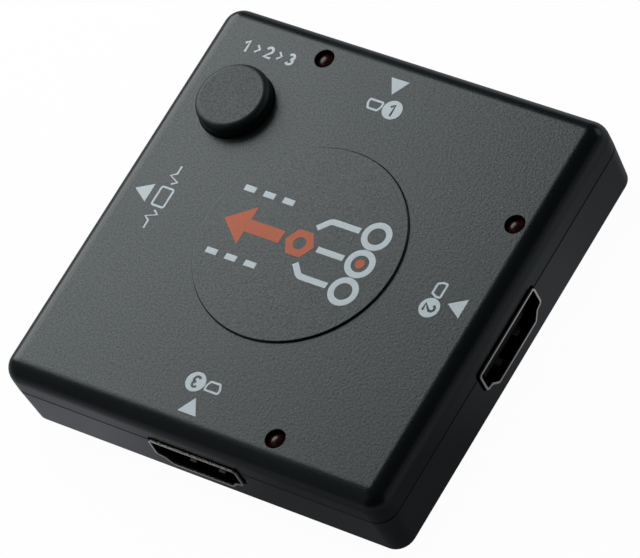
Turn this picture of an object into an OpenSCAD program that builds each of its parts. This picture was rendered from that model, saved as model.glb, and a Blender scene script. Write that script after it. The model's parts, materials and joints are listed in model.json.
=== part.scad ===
// Square three-to-one video switch box in two moulded covers.
// Millimetres, +Z up, origin at the centre of the base.
// +X holds input 2, +Y input 1, -Y input 3 and -X the output.

/* [Case] */
// Width and depth of the square case at its parting line
case_w = 63; // [60:0.5:72]
// Height of the top face above the base
case_h = 12.5; // [12:0.1:15]
// Height of the parting line between the covers
parting_h = 7.6; // [6.8:0.1:8.4]
// Wall thickness at the parting line
wall = 2; // [1.6:0.1:2.2]
// Thickness of the floor of the bottom cover
floor_t = 1.2; // [1:0.1:1.6]
// Thickness of the roof of the top cover
roof_t = 1.5; // [1.2:0.1:1.9]
// How far the bottom cover draws in towards the base on each side
draft_in = 0.33; // [0:0.01:0.5]
// Radius of the upright corners in plan
corner_r = 2.9; // [2.9:0.1:4]
// Radius of the inside corners of the covers
inner_r = 0.8; // [0.4:0.1:1.5]
// Radius of the soft edge round the top face
edge_r = 2.8; // [1.5:0.1:2.8]
// Diameter of the raised round panel on the top face
panel_d = 30.6; // [24:0.1:32]
// Height of the raised round panel
panel_h = 0.3; // [0.3:0.1:1]
// Thickness of the locating lip on the bottom cover
lip_t = 0.7; // [0.5:0.1:0.8]
// Height of the locating lip above the parting line
lip_h = 1.2; // [0.8:0.1:1.6]
// Clearance round the locating lip
lip_gap = 0.1; // [0.05:0.01:0.2]
// Height of the shadow gap at the parting line
seam_gap = 0.12; // [0.05:0.01:0.2]

/* [Screws] */
// Distance of each screw from the two nearest sides
screw_in = 6; // [5.5:0.1:7]
// Thread diameter of the screws
screw_d = 1.9; // [1.6:0.1:2.4]
// Length of the screws under the head
screw_l = 6; // [5:0.5:7.5]
// Diameter of the screw heads
head_d = 3.6; // [3.2:0.1:4]
// Height of the screw heads
head_h = 0.9; // [0.7:0.1:1]
// Depth of the heads below the base
head_sink = 0.2; // [0.1:0.1:0.3]
// Width of the cross slot in the heads
slot_w = 0.5; // [0.4:0.1:0.7]
// Length of the cross slot in the heads
slot_l = 2.2; // [1.8:0.1:2.6]
// Depth of the cross slot in the heads
slot_depth = 0.5; // [0.3:0.1:0.6]
// Diameter of the bosses and posts round the screws
post_d = 5; // [4.6:0.1:5.6]
// Radial clearance of a screw in the covers and the board
screw_gap = 0.15; // [0.1:0.05:0.25]
// Radial clearance of a thread in its post
thread_gap = 0.03; // [0.02:0.01:0.05]
// Spare depth of the post hole past the screw tip
screw_spare = 0.4; // [0.2:0.1:0.8]

/* [Board] */
// Thickness of the circuit board
board_t = 1; // [1:0.1:1.6]
// Height of the board above the floor
board_lift = 0.8; // [0.6:0.1:0.9]
// Clearance between the board edge and the walls
board_gap = 0.4; // [0.2:0.1:0.8]
// Corner radius of the board
board_r = 1; // [0.5:0.1:2]
// Length of leads and legs that pokes out below the board
lead_out = 0.3; // [0.2:0.1:0.4]
// Clearance round each leg or lead in the board
lead_gap = 0.2; // [0.1:0.05:0.3]
// Gap between rows of parts on the board
row_gap = 0.7; // [0.5:0.1:1]

/* [Sockets] */
// Clear width of a socket mouth at its wide side
mouth_w = 14; // [13.5:0.05:14.5]
// Clear height of a socket mouth
mouth_h = 4.55; // [4.3:0.05:4.8]
// Clear width of a socket mouth at its narrow side
keel_w = 9.7; // [9:0.1:10.4]
// Clear width of a socket mouth at the shoulders
shoulder_w = 11.8; // [11.2:0.1:12.2]
// Height of the shoulders above the narrow side
shoulder_h = 1.25; // [1:0.05:1.5]
// Rise of each shoulder towards the side wall
shoulder_rise = 0.25; // [0.1:0.05:0.4]
// Inside corner radius of a socket shell
mouth_r = 0.3; // [0.2:0.05:0.35]
// Sheet thickness of a socket shell
shell_t = 0.3; // [0.25:0.05:0.4]
// Length of a socket shell
shell_l = 11.5; // [10.5:0.1:12.5]
// How far a socket stands out of the case wall
shell_out = 0.4; // [0.2:0.05:1]
// Offset of the socket of input 2 along its side
input_2_shift = -0.3; // [-0.5:0.1:0.5]
// Gap between a socket shell and the covers
shell_gap = 0.2; // [0.2:0.05:0.45]
// Width of the legs of a socket shell
leg_w = 1; // [0.8:0.1:1.4]
// Distance of the front legs behind the rim
leg_front = 5; // [4.6:0.1:5.6]
// Distance of the back legs behind the rim
leg_back = 10; // [9:0.1:10]
// Width of the spring fingers in a shell floor
finger_w = 1.1; // [1:0.1:1.6]
// Distance between the two spring fingers
finger_pitch = 4.8; // [4:0.1:5.6]
// Length of the spring fingers
finger_l = 5; // [4:0.1:5.5]
// Distance of the finger tips behind the rim
finger_set = 1.2; // [0.6:0.1:1.5]
// Rise of the spring fingers above the shell floor
finger_rise = 0.5; // [0.3:0.05:0.7]
// Gap cut round each spring finger
finger_gap = 0.3; // [0.2:0.05:0.4]
// Width of the tongue in a socket
tongue_w = 11.4; // [11:0.1:12]
// Thickness of the tongue
tongue_t = 1.2; // [1:0.05:1.4]
// Height of the tongue above the narrow side of the mouth
tongue_h = 1.65; // [1.55:0.05:1.75]
// Distance of the tongue tip behind the rim
tongue_set = 1.2; // [0.8:0.1:2]
// Length of the insulator block at the back of a socket
block_l = 3.2; // [2.6:0.1:4]
// Clearance between the insulator block and its shell
block_gap = 0.03; // [0.02:0.01:0.06]
// Number of contacts in the upper row of a socket
contact_n = 10; // [8:1:10]
// Distance between contacts in a row
contact_pitch = 1; // [0.9:0.05:1.05]
// Width of each contact
contact_w = 0.3; // [0.22:0.02:0.34]
// Thickness of each contact
contact_t = 0.15; // [0.1:0.01:0.2]
// Distance of the contact tips behind the tongue tip
contact_set = 0.5; // [0.3:0.1:1]
// Side clearance of a contact in its groove
contact_gap = 0.02; // [0.01:0.01:0.04]
// Length of the contact feet on the board
foot_l = 0.8; // [0.6:0.1:1]
// Distance the contacts run out behind a socket before they turn down
foot_out = 0.4; // [0.3:0.05:0.6]

/* [Select button] */
// Distance of the button centre from the output side
button_in_x = 10.55; // [10.5:0.05:12]
// Distance of the button centre from the input 1 side
button_in_y = 15; // [15:0.1:17]
// Diameter of the button
button_d = 10.8; // [9:0.1:11]
// Height of the button above the top face
button_rise = 2.4; // [2:0.05:5]
// Radius of the button's top edge
button_r = 0.9; // [0.2:0.05:1.2]
// Radial clearance of the button in its hole
button_gap = 0.15; // [0.15:0.05:0.3]
// Width of the retaining flange past the button
flange_w = 1.2; // [0.8:0.1:1.5]
// Thickness of the retaining flange
flange_t = 0.8; // [0.6:0.1:1]
// Clearance above the retaining flange
flange_gap = 0.1; // [0.05:0.01:0.15]
// Wall thickness of the button
button_wall = 1.2; // [1:0.1:1.6]
// Thickness of the button's top
button_top = 1.5; // [1.2:0.1:2]
// Diameter of the stem inside the button
stem_d = 4; // [3.6:0.1:4.4]
// Travel of the button
travel = 0.3; // [0.2:0.05:0.35]

/* [Push switch] */
// Width of the square push switch under the button
switch_w = 6; // [5.8:0.1:6.6]
// Height of the push switch body
switch_h = 3.4; // [3.2:0.1:3.8]
// Height of the plunger above the board
plunger_h = 5; // [4.6:0.1:5.6]
// Diameter of the plunger
plunger_d = 3.4; // [3:0.1:3.5]
// Thickness of the plunger's flange
collar_t = 0.5; // [0.4:0.05:0.6]
// Width of the plunger's flange past the plunger
collar_w = 0.35; // [0.25:0.05:0.4]
// Diameter of the nub under the plunger
nub_d = 1.4; // [1.2:0.1:1.8]
// Clearance round the plunger's flange in the switch base
chamber_gap = 0.25; // [0.15:0.05:0.3]
// Thickness of the base under the chamber
chamber_floor = 0.8; // [0.7:0.1:1]
// Clearance round the snap dome in the switch base
dome_gap = 0.2; // [0.1:0.05:0.3]
// Height of the snap dome when it is pressed in
dome_flat = 0.25; // [0.2:0.05:0.3]
// Thickness of the snap dome
dome_t = 0.1; // [0.08:0.01:0.12]
// Thickness of the metal cover plate
plate_t = 0.3; // [0.2:0.05:0.4]
// Width of the cover plate's side tabs
tab_w = 3; // [2:0.1:4]
// Height of the cover plate's side tabs
tab_h = 1.5; // [1:0.1:2]
// Clearance between the plunger's flange and the cover plate
collar_gap = 0.05; // [0.02:0.01:0.1]
// Clearance between the plunger's nub and the snap dome
nub_gap = 0.02; // [0.01:0.01:0.05]
// Clearance round the moving plunger
plunger_gap = 0.15; // [0.1:0.05:0.2]
// Distance between the terminals along a side of the switch
terminal_pitch = 4.5; // [4:0.1:4.8]
// Width of the switch terminals
terminal_w = 0.7; // [0.5:0.05:0.8]
// Sheet thickness of the switch terminals
terminal_t = 0.3; // [0.2:0.05:0.4]
// Distance the terminals run out of the switch side
terminal_out = 0.5; // [0.4:0.1:0.8]
// Height at which the terminals leave the switch
terminal_h = 0.6; // [0.5:0.1:0.8]

/* [Lamps] */
// Distance of each lamp from its own side
lamp_in = 4.4; // [4.2:0.1:5.5]
// Distance of each lamp from the middle of its side
lamp_along = 12.7; // [12:0.1:14]
// Diameter of a lamp lens
lamp_d = 2.8; // [2.8:0.1:3.2]
// Height of a lamp lens with its dome
lamp_h = 5.3; // [4.6:0.1:5.6]
// Width of the lens flange past the lens
rim_w = 0.4; // [0.2:0.05:0.45]
// Thickness of the lens flange
rim_t = 1; // [0.8:0.1:1.2]
// Depth of a lens top below the top face
lamp_sink = 0.15; // [0.1:0.05:0.5]
// Radial clearance of a lens in its hole
lamp_gap = 0.05; // [0.05:0.01:0.15]
// Distance between the two leads of a lamp
lead_pitch = 2.54; // [2:0.01:2.54]
// Width of the square lamp leads
lead_w = 0.5; // [0.4:0.05:0.6]

/* [Board parts] */
// Width of the square selector chip
chip_w = 10; // [9:0.5:11]
// Height of the selector chip
chip_h = 1.2; // [1:0.1:1.6]
// Number of pins on each side of the selector chip
chip_pins = 16; // [8:1:16]
// Distance between the pins of the selector chip
chip_pitch = 0.5; // [0.45:0.01:0.55]
// Width of the selector chip's pins
chip_pin_w = 0.22; // [0.18:0.01:0.25]
// Length of a memory chip along its socket's axis
memory_l = 4.9; // [4.5:0.1:5.2]
// Width of a memory chip
memory_w = 3.9; // [3.6:0.1:4.2]
// Height of a memory chip
memory_h = 1.4; // [1.2:0.1:1.6]
// Number of pins on each side of a memory chip
memory_pins = 4; // [3:1:4]
// Distance between the pins of a memory chip
memory_pitch = 1.27; // [1.1:0.01:1.27]
// Width of the pins of memory chips and regulator
memory_pin_w = 0.4; // [0.3:0.02:0.46]
// Sheet thickness of all chip pins
pin_t = 0.15; // [0.1:0.01:0.2]
// Reach of the chip pins past the chip's side
pin_reach = 1; // [0.8:0.1:1.2]
// Clearance under each chip
chip_lift = 0.1; // [0.05:0.01:0.15]
// Length of the voltage regulator along the output's axis
regulator_l = 3.5; // [3:0.1:4]
// Width of the voltage regulator
regulator_w = 6.5; // [6:0.1:7]
// Height of the voltage regulator
regulator_h = 1.6; // [1.4:0.1:1.8]
// Number of pins on the regulator's inner side
regulator_pins_n = 3; // [2:1:3]
// Distance between the regulator's pins
regulator_pitch = 2.3; // [1.8:0.1:2.4]
// Width of the regulator's broad tab
regulator_tab_w = 3; // [2.6:0.1:3.4]
// Length of a chip resistor or capacitor
passive_l = 1.6; // [1.4:0.05:1.8]
// Width of a chip resistor or capacitor
passive_w = 0.8; // [0.7:0.05:0.9]
// Height of a chip resistor
resistor_h = 0.45; // [0.35:0.05:0.6]
// Height of a chip capacitor
capacitor_h = 0.8; // [0.7:0.05:0.9]
// Number of resistors behind each socket
resistor_n = 8; // [4:1:8]
// Distance between the resistors in a row
resistor_pitch = 1.25; // [1.2:0.05:1.4]
// Distance of the capacitors from the selector chip's pins
capacitor_gap = 1; // [0.8:0.1:1.4]

/* [Hidden] */
$fn = 64;
arc_steps = 8;
overlap = 0.2;
half = case_w / 2;
inner_half = half - wall;
base_half = half - draft_in;
roof_z = case_h - roof_t;
seam_z = parting_h - seam_gap;
base_r = corner_r - draft_in;
edge_land = 0.1;
soft_r = min(edge_r, corner_r - edge_land);
board_z = floor_t + board_lift;
deck_z = board_z + board_t;
lead_z = board_z - lead_out;
board_half = inner_half - board_gap;
screw_xy = half - screw_in;
screw_z = head_sink + head_h;
screw_tip = screw_d / 2;
rim_x = half + shell_out;
tail_x = rim_x - shell_l;
block_x = tail_x + block_l;
tongue_x = rim_x - tongue_set;
contact_x = tongue_x - contact_set;
mouth_z = deck_z + shell_t;
tongue_z = mouth_z + tongue_h;
shell_side = mouth_w / 2 + shell_t;
foot_x = tail_x - foot_out - foot_l;
resistor_x = foot_x - row_gap - passive_l / 2;
memory_x = resistor_x - passive_l / 2 - row_gap - memory_l / 2;
regulator_x = resistor_x - passive_l / 2 - row_gap - pin_reach - regulator_l / 2;
button_x = button_in_x - half;
button_y = half - button_in_y;
button_z = case_h + button_rise;
flange_z = roof_z - flange_gap - flange_t;
plunger_z = deck_z + plunger_h;
plate_z = deck_z + switch_h - plate_t;
chamber_z = deck_z + chamber_floor;
collar_z = plate_z - collar_gap - collar_t;
chamber_d = plunger_d + 2 * collar_w + 2 * chamber_gap;
dome_d = chamber_d - 2 * dome_gap;
dome_h = dome_flat + travel;
nub_z = chamber_z + dome_h + nub_gap;
dome_r = (dome_d * dome_d / 4 + dome_h * dome_h) / (2 * dome_h);
lamp_z = case_h - lamp_sink - lamp_h;
lamp_y = half - lamp_in;
capacitor_xy = chip_w / 2 + pin_reach + capacitor_gap;

// Turn of each socket about the case centre
input_1_turn = 90;
input_2_turn = 0;
input_3_turn = -90;
output_turn = 180;
INPUT_TURNS = [input_1_turn, input_2_turn, input_3_turn];
SOCKET_TURNS = concat(INPUT_TURNS, [output_turn]);

function unit(v) = v / norm(v);
function outward(a, b) = let (u = unit(b - a)) [u.y, -u.x];
function turned(v, a) = [v.x * cos(a) - v.y * sin(a), v.x * sin(a) + v.y * cos(a)];

// Closed outline moved outwards by d, corners mitred
function grown(pts, d) = [
    for (i = [0:len(pts) - 1])
        let (
            before = pts[(i + len(pts) - 1) % len(pts)],
            after = pts[(i + 1) % len(pts)],
            n1 = outward(before, pts[i]),
            n2 = outward(pts[i], after)
        )
        pts[i] + d * (n1 + n2) / (1 + n1 * n2)
];

// Closed outline with every corner turned into an arc of radius r
function rounded(pts, r) = [
    for (i = [0:len(pts) - 1])
        let (
            a = unit(pts[(i + len(pts) - 1) % len(pts)] - pts[i]),
            b = unit(pts[(i + 1) % len(pts)] - pts[i]),
            corner = acos(a * b),
            centre = pts[i] + unit(a + b) * r / sin(corner / 2),
            start = pts[i] + a * r / tan(corner / 2) - centre,
            sweep = (180 - corner) * sign(cross(b, a))
        )
        for (k = [0:arc_steps])
            centre + turned(start, sweep * k / arc_steps)
];

// Outline of a bent strip of thickness t along a path
function strip_normal(path, i) =
    i == 0 ? outward(path[0], path[1])
    : i == len(path) - 1 ? outward(path[i - 1], path[i])
    : let (n1 = outward(path[i - 1], path[i]), n2 = outward(path[i], path[i + 1]))
        (n1 + n2) / (1 + n1 * n2);
function strip(path, t) = concat(
    [for (i = [0:len(path) - 1]) path[i] + strip_normal(path, i) * t / 2],
    [for (i = [len(path) - 1:-1:0]) path[i] - strip_normal(path, i) * t / 2]
);

// Square of half width h, corners round, from z0 to z1
module slab(h, r, z0, z1) {
    translate([0, 0, z0])
        linear_extrude(z1 - z0)
            polygon(rounded([[-h, -h], [h, -h], [h, h], [-h, h]], r));
}

// Flat shape in Y and Z, drawn along X from x0 to x1
module along_x(x0, x1) {
    translate([x0, 0, 0])
        rotate([90, 0, 90])
            linear_extrude(x1 - x0)
                children();
}

// Flat shape in X and Z, drawn along Y over a width centred at y
module across_y(y, width) {
    translate([0, y + width / 2, 0])
        rotate([90, 0, 0])
            linear_extrude(width)
                children();
}

// Children at a socket, drawn as if it faced +X
module at_socket(turn) {
    shift = turn == input_2_turn ? input_2_shift : 0;
    rotate([0, 0, turn])
        translate([0, shift, 0])
            children();
}

// Children at the four screw places
module at_screws() {
    for (sx = [-1, 1])
        for (sy = [-1, 1])
            translate([sx * screw_xy, sy * screw_xy, 0])
                children();
}

// Children at the lamp beside each input, in that input's own turn
module at_lamp(turn) {
    rotate([0, 0, turn])
        translate([lamp_y, lamp_along, 0])
            children();
}

// Box standing on z0, centred at x and y
module block(x, y, z0, size) {
    translate([x - size.x / 2, y - size.y / 2, z0])
        cube(size);
}

// Case covers

// Half section of the top cover's edge: upright side, soft top corner
module edge_section() {
    difference() {
        translate([0, parting_h])
            square([corner_r, case_h - parting_h]);
        translate([corner_r - soft_r, case_h - soft_r])
            difference() {
                square(2 * soft_r);
                circle(soft_r);
            }
    }
}

module top_cover_body() {
    flat = half - corner_r;
    slab_size = [2 * flat, 2 * flat, case_h - parting_h];
    block(0, 0, parting_h, slab_size);
    for (turn = SOCKET_TURNS)
        rotate([0, 0, turn]) {
            across_y(0, 2 * flat)
                translate([flat, 0])
                    edge_section();
            translate([flat, flat, 0])
                rotate_extrude(angle = 90)
                    edge_section();
        }
}

// Outline of a socket mouth in Y and Z, narrow side down
MOUTH = [
    [-keel_w / 2, mouth_z], [keel_w / 2, mouth_z],
    [shoulder_w / 2, mouth_z + shoulder_h],
    [mouth_w / 2, mouth_z + shoulder_h + shoulder_rise],
    [mouth_w / 2, mouth_z + mouth_h], [-mouth_w / 2, mouth_z + mouth_h],
    [-mouth_w / 2, mouth_z + shoulder_h + shoulder_rise],
    [-shoulder_w / 2, mouth_z + shoulder_h]
];

// Windows for the four sockets in both covers
module socket_windows() {
    for (turn = SOCKET_TURNS)
        at_socket(turn)
            along_x(inner_half - overlap, half + overlap)
                polygon(rounded(grown(MOUTH, shell_t + shell_gap), mouth_r + shell_gap));
}

module top_cover() {
    color([0.2, 0.2, 0.21])
        difference() {
            union() {
                difference() {
                    top_cover_body();
                    slab(inner_half, inner_r, parting_h - overlap, roof_z);
                    slab(inner_half + lip_t + lip_gap, inner_r, parting_h - overlap,
                        parting_h + lip_h + lip_gap);
                }
                translate([0, 0, roof_z])
                    cylinder(d = panel_d, h = roof_t + panel_h);
                at_screws()
                    translate([0, 0, deck_z])
                        cylinder(d = post_d, h = roof_z + overlap - deck_z);
            }
            socket_windows();
            at_screws()
                translate([0, 0, deck_z - overlap])
                    cylinder(d = screw_d + 2 * thread_gap,
                        h = screw_z + screw_l + screw_spare - deck_z + overlap);
            translate([button_x, button_y, flange_z])
                cylinder(d = button_d + 2 * button_gap, h = button_z - flange_z);
            for (turn = INPUT_TURNS)
                at_lamp(turn)
                    translate([0, 0, roof_z - overlap])
                        cylinder(d = lamp_d + 2 * lamp_gap, h = roof_t + 2 * overlap);
        }
}

module bottom_cover() {
    color([0.17, 0.17, 0.18])
        difference() {
            union() {
                difference() {
                    hull() {
                        slab(base_half, base_r, 0, overlap);
                        slab(half, corner_r, seam_z - overlap, seam_z);
                    }
                    slab(inner_half, inner_r, floor_t, parting_h);
                }
                difference() {
                    slab(inner_half + lip_t, inner_r, seam_z - overlap, parting_h + lip_h);
                    slab(inner_half, inner_r, seam_z - 2 * overlap, parting_h + lip_h + overlap);
                }
                at_screws()
                    translate([0, 0, floor_t - overlap])
                        cylinder(d = post_d, h = board_z - floor_t + overlap);
            }
            socket_windows();
            at_screws() {
                translate([0, 0, -overlap])
                    cylinder(d = screw_d + 2 * screw_gap, h = board_z + 2 * overlap);
                translate([0, 0, -overlap])
                    cylinder(d = head_d + 2 * screw_gap, h = screw_z + overlap);
            }
        }
}

module case_screws() {
    color([0.62, 0.62, 0.64])
        at_screws() {
            difference() {
                translate([0, 0, head_sink])
                    cylinder(d = head_d, h = head_h);
                for (turn = [0, 90])
                    rotate([0, 0, turn])
                        block(0, 0, head_sink - overlap, [slot_l, slot_w, slot_depth + overlap]);
            }
            translate([0, 0, screw_z])
                cylinder(d = screw_d, h = screw_l - screw_tip);
            translate([0, 0, screw_z + screw_l - screw_tip])
                cylinder(d1 = screw_d, d2 = screw_d / 2, h = screw_tip);
        }
}

// Circuit board

module circuit_board() {
    hole_z = board_z - overlap;
    hole_h = board_t + 2 * overlap;
    color([0.05, 0.3, 0.16])
        difference() {
            slab(board_half, board_r, board_z, deck_z);
            at_screws()
                translate([0, 0, hole_z])
                    cylinder(d = screw_d + 2 * screw_gap, h = hole_h);
            for (turn = SOCKET_TURNS)
                at_socket(turn)
                    at_legs()
                        block(0, 0, hole_z, [leg_w + 2 * lead_gap, shell_t + 2 * lead_gap, hole_h]);
            for (turn = INPUT_TURNS)
                at_lamp(turn)
                    for (side = [-1, 1])
                        translate([0, side * lead_pitch / 2, hole_z])
                            cylinder(r = lead_w / 2 + lead_gap, h = hole_h);
            at_terminals()
                block(switch_w / 2 + terminal_out, 0, hole_z,
                    [terminal_t + 2 * lead_gap, terminal_w + 2 * lead_gap, hole_h]);
        }
}

// Sockets

// Children at the four legs of a socket that faces +X
module at_legs() {
    for (back = [leg_front, leg_back])
        for (side = [-1, 1])
            translate([rim_x - back, side * (shell_side - shell_t / 2), 0])
                children();
}

module socket_shell() {
    sheet_z = mouth_z - shell_t / 2;
    tip_x = rim_x - finger_set;
    root_x = tip_x - finger_l;
    bend_x = tip_x - finger_l / 4;
    finger = [[root_x - overlap, sheet_z], [root_x, sheet_z], [bend_x, sheet_z + finger_rise],
        [tip_x, sheet_z + finger_rise - shell_t]];
    leg_top = mouth_z + mouth_h / 2;
    difference() {
        union() {
            along_x(tail_x, rim_x)
                difference() {
                    polygon(rounded(grown(MOUTH, shell_t), mouth_r + shell_t));
                    polygon(rounded(MOUTH, mouth_r));
                }
            at_legs()
                block(0, 0, lead_z, [leg_w, shell_t, leg_top - lead_z]);
        }
        for (side = [-1, 1])
            block(tip_x + finger_gap - (finger_l + finger_gap) / 2, side * finger_pitch / 2,
                sheet_z - shell_t, [finger_l + finger_gap, finger_w + 2 * finger_gap, 2 * shell_t]);
    }
    for (side = [-1, 1])
        across_y(side * finger_pitch / 2, finger_w)
            polygon(strip(finger, shell_t));
}

// Places of the contacts across a socket, upper row then lower row
function contact_row(n) = [for (i = [0:n - 1]) (i - (n - 1) / 2) * contact_pitch];

module socket_insulator() {
    difference() {
        union() {
            along_x(tail_x, block_x)
                polygon(rounded(grown(MOUTH, -block_gap), mouth_r));
            along_x(block_x - overlap, tongue_x)
                translate([-tongue_w / 2, tongue_z])
                    square([tongue_w, tongue_t]);
        }
        for (y = contact_row(contact_n))
            contact_groove(y, tongue_z + tongue_t - contact_t, tongue_z + tongue_t + overlap);
        for (y = contact_row(contact_n - 1))
            contact_groove(y, tongue_z - overlap, tongue_z + contact_t);
    }
}

// Groove along the tongue and slot through the block for one contact
module contact_groove(y, z0, z1) {
    tunnel_z = max(z0, tongue_z);
    groove_w = contact_w + 2 * contact_gap;
    across_y(y, groove_w) {
        translate([tail_x - overlap, tunnel_z])
            square([contact_x - tail_x + overlap, contact_t]);
        translate([block_x, z0])
            square([contact_x - block_x, z1 - z0]);
    }
}

module socket_contacts() {
    turn_x = tail_x - foot_out;
    foot_z = deck_z + contact_t / 2;
    for (row = [[contact_n, tongue_z + tongue_t - contact_t / 2],
                [contact_n - 1, tongue_z + contact_t / 2]])
        for (y = contact_row(row[0]))
            across_y(y, contact_w)
                polygon(strip([[contact_x, row[1]], [turn_x, row[1]], [turn_x, foot_z],
                    [turn_x - foot_l, foot_z]], contact_t));
}

module shell_at(turn) {
    color([0.74, 0.74, 0.72])
        at_socket(turn)
            socket_shell();
}

module insulator_at(turn) {
    color([0.05, 0.05, 0.05])
        at_socket(turn)
            socket_insulator();
}

module contacts_at(turn) {
    color([0.8, 0.65, 0.3])
        at_socket(turn)
            socket_contacts();
}

// Select button and push switch

module select_button() {
    bore_r = button_d / 2 - button_wall;
    flange_r = button_d / 2 + button_gap + flange_w;
    color([0.19, 0.19, 0.2])
        translate([button_x, button_y, 0]) {
            rotate_extrude()
                difference() {
                    union() {
                        translate([0, flange_z])
                            square([button_d / 2, button_z - flange_z]);
                        translate([0, flange_z])
                            square([flange_r, flange_t]);
                    }
                    translate([stem_d / 2, flange_z - overlap])
                        square([bore_r - stem_d / 2, button_z - button_top - flange_z + overlap]);
                    translate([button_d / 2 - button_r, button_z - button_r])
                        difference() {
                            square(2 * button_r);
                            circle(button_r);
                        }
                }
            translate([0, 0, plunger_z])
                cylinder(d = stem_d, h = flange_z + overlap - plunger_z);
        }
}

// Children at the four terminals, in a frame that faces outwards along X
module at_terminals() {
    translate([button_x, button_y, 0])
        for (turn = [0, 180])
            rotate([0, 0, turn])
                for (side = [-1, 1])
                    translate([0, side * terminal_pitch / 2, 0])
                        children();
}

module switch_base() {
    color([0.08, 0.08, 0.08])
        translate([button_x, button_y, 0])
            difference() {
                block(0, 0, deck_z, [switch_w, switch_w, plate_z - deck_z]);
                translate([0, 0, chamber_z])
                    cylinder(d = chamber_d, h = switch_h);
            }
}

module switch_plate() {
    color([0.7, 0.7, 0.7])
        translate([button_x, button_y, 0]) {
            difference() {
                block(0, 0, plate_z, [switch_w, switch_w + 2 * plate_t, plate_t]);
                translate([0, 0, plate_z - overlap])
                    cylinder(d = plunger_d + 2 * plunger_gap, h = plate_t + 2 * overlap);
            }
            for (side = [-1, 1])
                block(0, side * (switch_w + plate_t) / 2, plate_z - tab_h,
                    [tab_w, plate_t, tab_h + plate_t]);
        }
}

module switch_dome() {
    color([0.75, 0.73, 0.68])
        translate([button_x, button_y, chamber_z])
            rotate_extrude()
                difference() {
                    translate([0, dome_h - dome_r])
                        circle(dome_r);
                    translate([0, dome_h - dome_r])
                        circle(dome_r - dome_t);
                    translate([-2 * dome_r, -3 * dome_r])
                        square([2 * dome_r, 4 * dome_r]);
                    translate([-dome_r, -3 * dome_r])
                        square([3 * dome_r, 3 * dome_r]);
                }
}

module switch_plunger() {
    color([0.12, 0.12, 0.12])
        translate([button_x, button_y, 0]) {
            translate([0, 0, collar_z])
                cylinder(d = plunger_d, h = plunger_z - collar_z);
            translate([0, 0, collar_z])
                cylinder(d = plunger_d + 2 * collar_w, h = collar_t);
            translate([0, 0, nub_z])
                cylinder(d = nub_d, h = collar_z + overlap - nub_z);
        }
}

module switch_terminals() {
    side_x = switch_w / 2;
    out_x = side_x + terminal_out;
    bend_z = deck_z + terminal_h;
    color([0.72, 0.72, 0.7])
        at_terminals()
            across_y(0, terminal_w)
                polygon(strip([[side_x, bend_z], [out_x, bend_z], [out_x, lead_z]], terminal_t));
}

// Lamps

module lamp_lens(turn) {
    lens_r = lamp_d / 2;
    color([0.35, 0.02, 0.03])
        at_lamp(turn)
            translate([0, 0, lamp_z]) {
                cylinder(r = lens_r + rim_w, h = rim_t);
                cylinder(r = lens_r, h = lamp_h - lens_r);
                translate([0, 0, lamp_h - lens_r])
                    sphere(lens_r);
            }
}

module lamp_leads() {
    color([0.7, 0.7, 0.7])
        for (turn = INPUT_TURNS)
            at_lamp(turn)
                for (side = [-1, 1])
                    block(0, side * lead_pitch / 2, lead_z, [lead_w, lead_w, lamp_z - lead_z]);
}

// Board parts

// Gull wing pin that leaves a chip's side at side_x and lands on the board
module gull_pin(side_x, body_h, y, width) {
    leave_z = deck_z + chip_lift + body_h / 2;
    land_z = deck_z + pin_t / 2;
    knee_x = side_x + pin_reach / 3;
    across_y(y, width)
        polygon(strip([[side_x, leave_z], [knee_x, leave_z], [knee_x, land_z],
            [side_x + pin_reach, land_z]], pin_t));
}

function pin_row(n, pitch) = [for (i = [0:n - 1]) (i - (n - 1) / 2) * pitch];

module selector_chip() {
    color([0.09, 0.09, 0.1])
        block(0, 0, deck_z + chip_lift, [chip_w, chip_w, chip_h]);
}

module selector_chip_pins() {
    color([0.75, 0.75, 0.75])
        for (turn = SOCKET_TURNS)
            rotate([0, 0, turn])
                for (y = pin_row(chip_pins, chip_pitch))
                    gull_pin(chip_w / 2, chip_h, y, chip_pin_w);
}

module memory_chips() {
    color([0.1, 0.1, 0.11])
        for (turn = INPUT_TURNS)
            rotate([0, 0, turn])
                block(memory_x, 0, deck_z + chip_lift, [memory_l, memory_w, memory_h]);
}

module memory_chip_pins() {
    color([0.75, 0.75, 0.75])
        for (turn = INPUT_TURNS)
            rotate([0, 0, turn])
                translate([memory_x, 0, 0])
                    for (side = [-90, 90])
                        rotate([0, 0, side])
                            for (y = pin_row(memory_pins, memory_pitch))
                                gull_pin(memory_w / 2, memory_h, y, memory_pin_w);
}

module voltage_regulator() {
    color([0.1, 0.1, 0.11])
        rotate([0, 0, output_turn])
            block(regulator_x, 0, deck_z + chip_lift, [regulator_l, regulator_w, regulator_h]);
}

module regulator_pins() {
    color([0.75, 0.75, 0.75])
        rotate([0, 0, output_turn])
            translate([regulator_x, 0, 0]) {
                gull_pin(regulator_l / 2, regulator_h, 0, regulator_tab_w);
                rotate([0, 0, 180])
                    for (y = pin_row(regulator_pins_n, regulator_pitch))
                        gull_pin(regulator_l / 2, regulator_h, y, memory_pin_w);
            }
}

module chip_resistors() {
    color([0.13, 0.13, 0.15])
        for (turn = SOCKET_TURNS)
            rotate([0, 0, turn])
                for (y = pin_row(resistor_n, resistor_pitch))
                    block(resistor_x, y, deck_z, [passive_l, passive_w, resistor_h]);
}

module chip_capacitors() {
    color([0.62, 0.5, 0.36])
        for (turn = SOCKET_TURNS)
            rotate([0, 0, turn]) {
                block(capacitor_xy, capacitor_xy, deck_z, [passive_l, passive_w, capacitor_h]);
                block(capacitor_xy, capacitor_xy - passive_w - row_gap, deck_z,
                    [passive_l, passive_w, capacitor_h]);
            }
}

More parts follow.
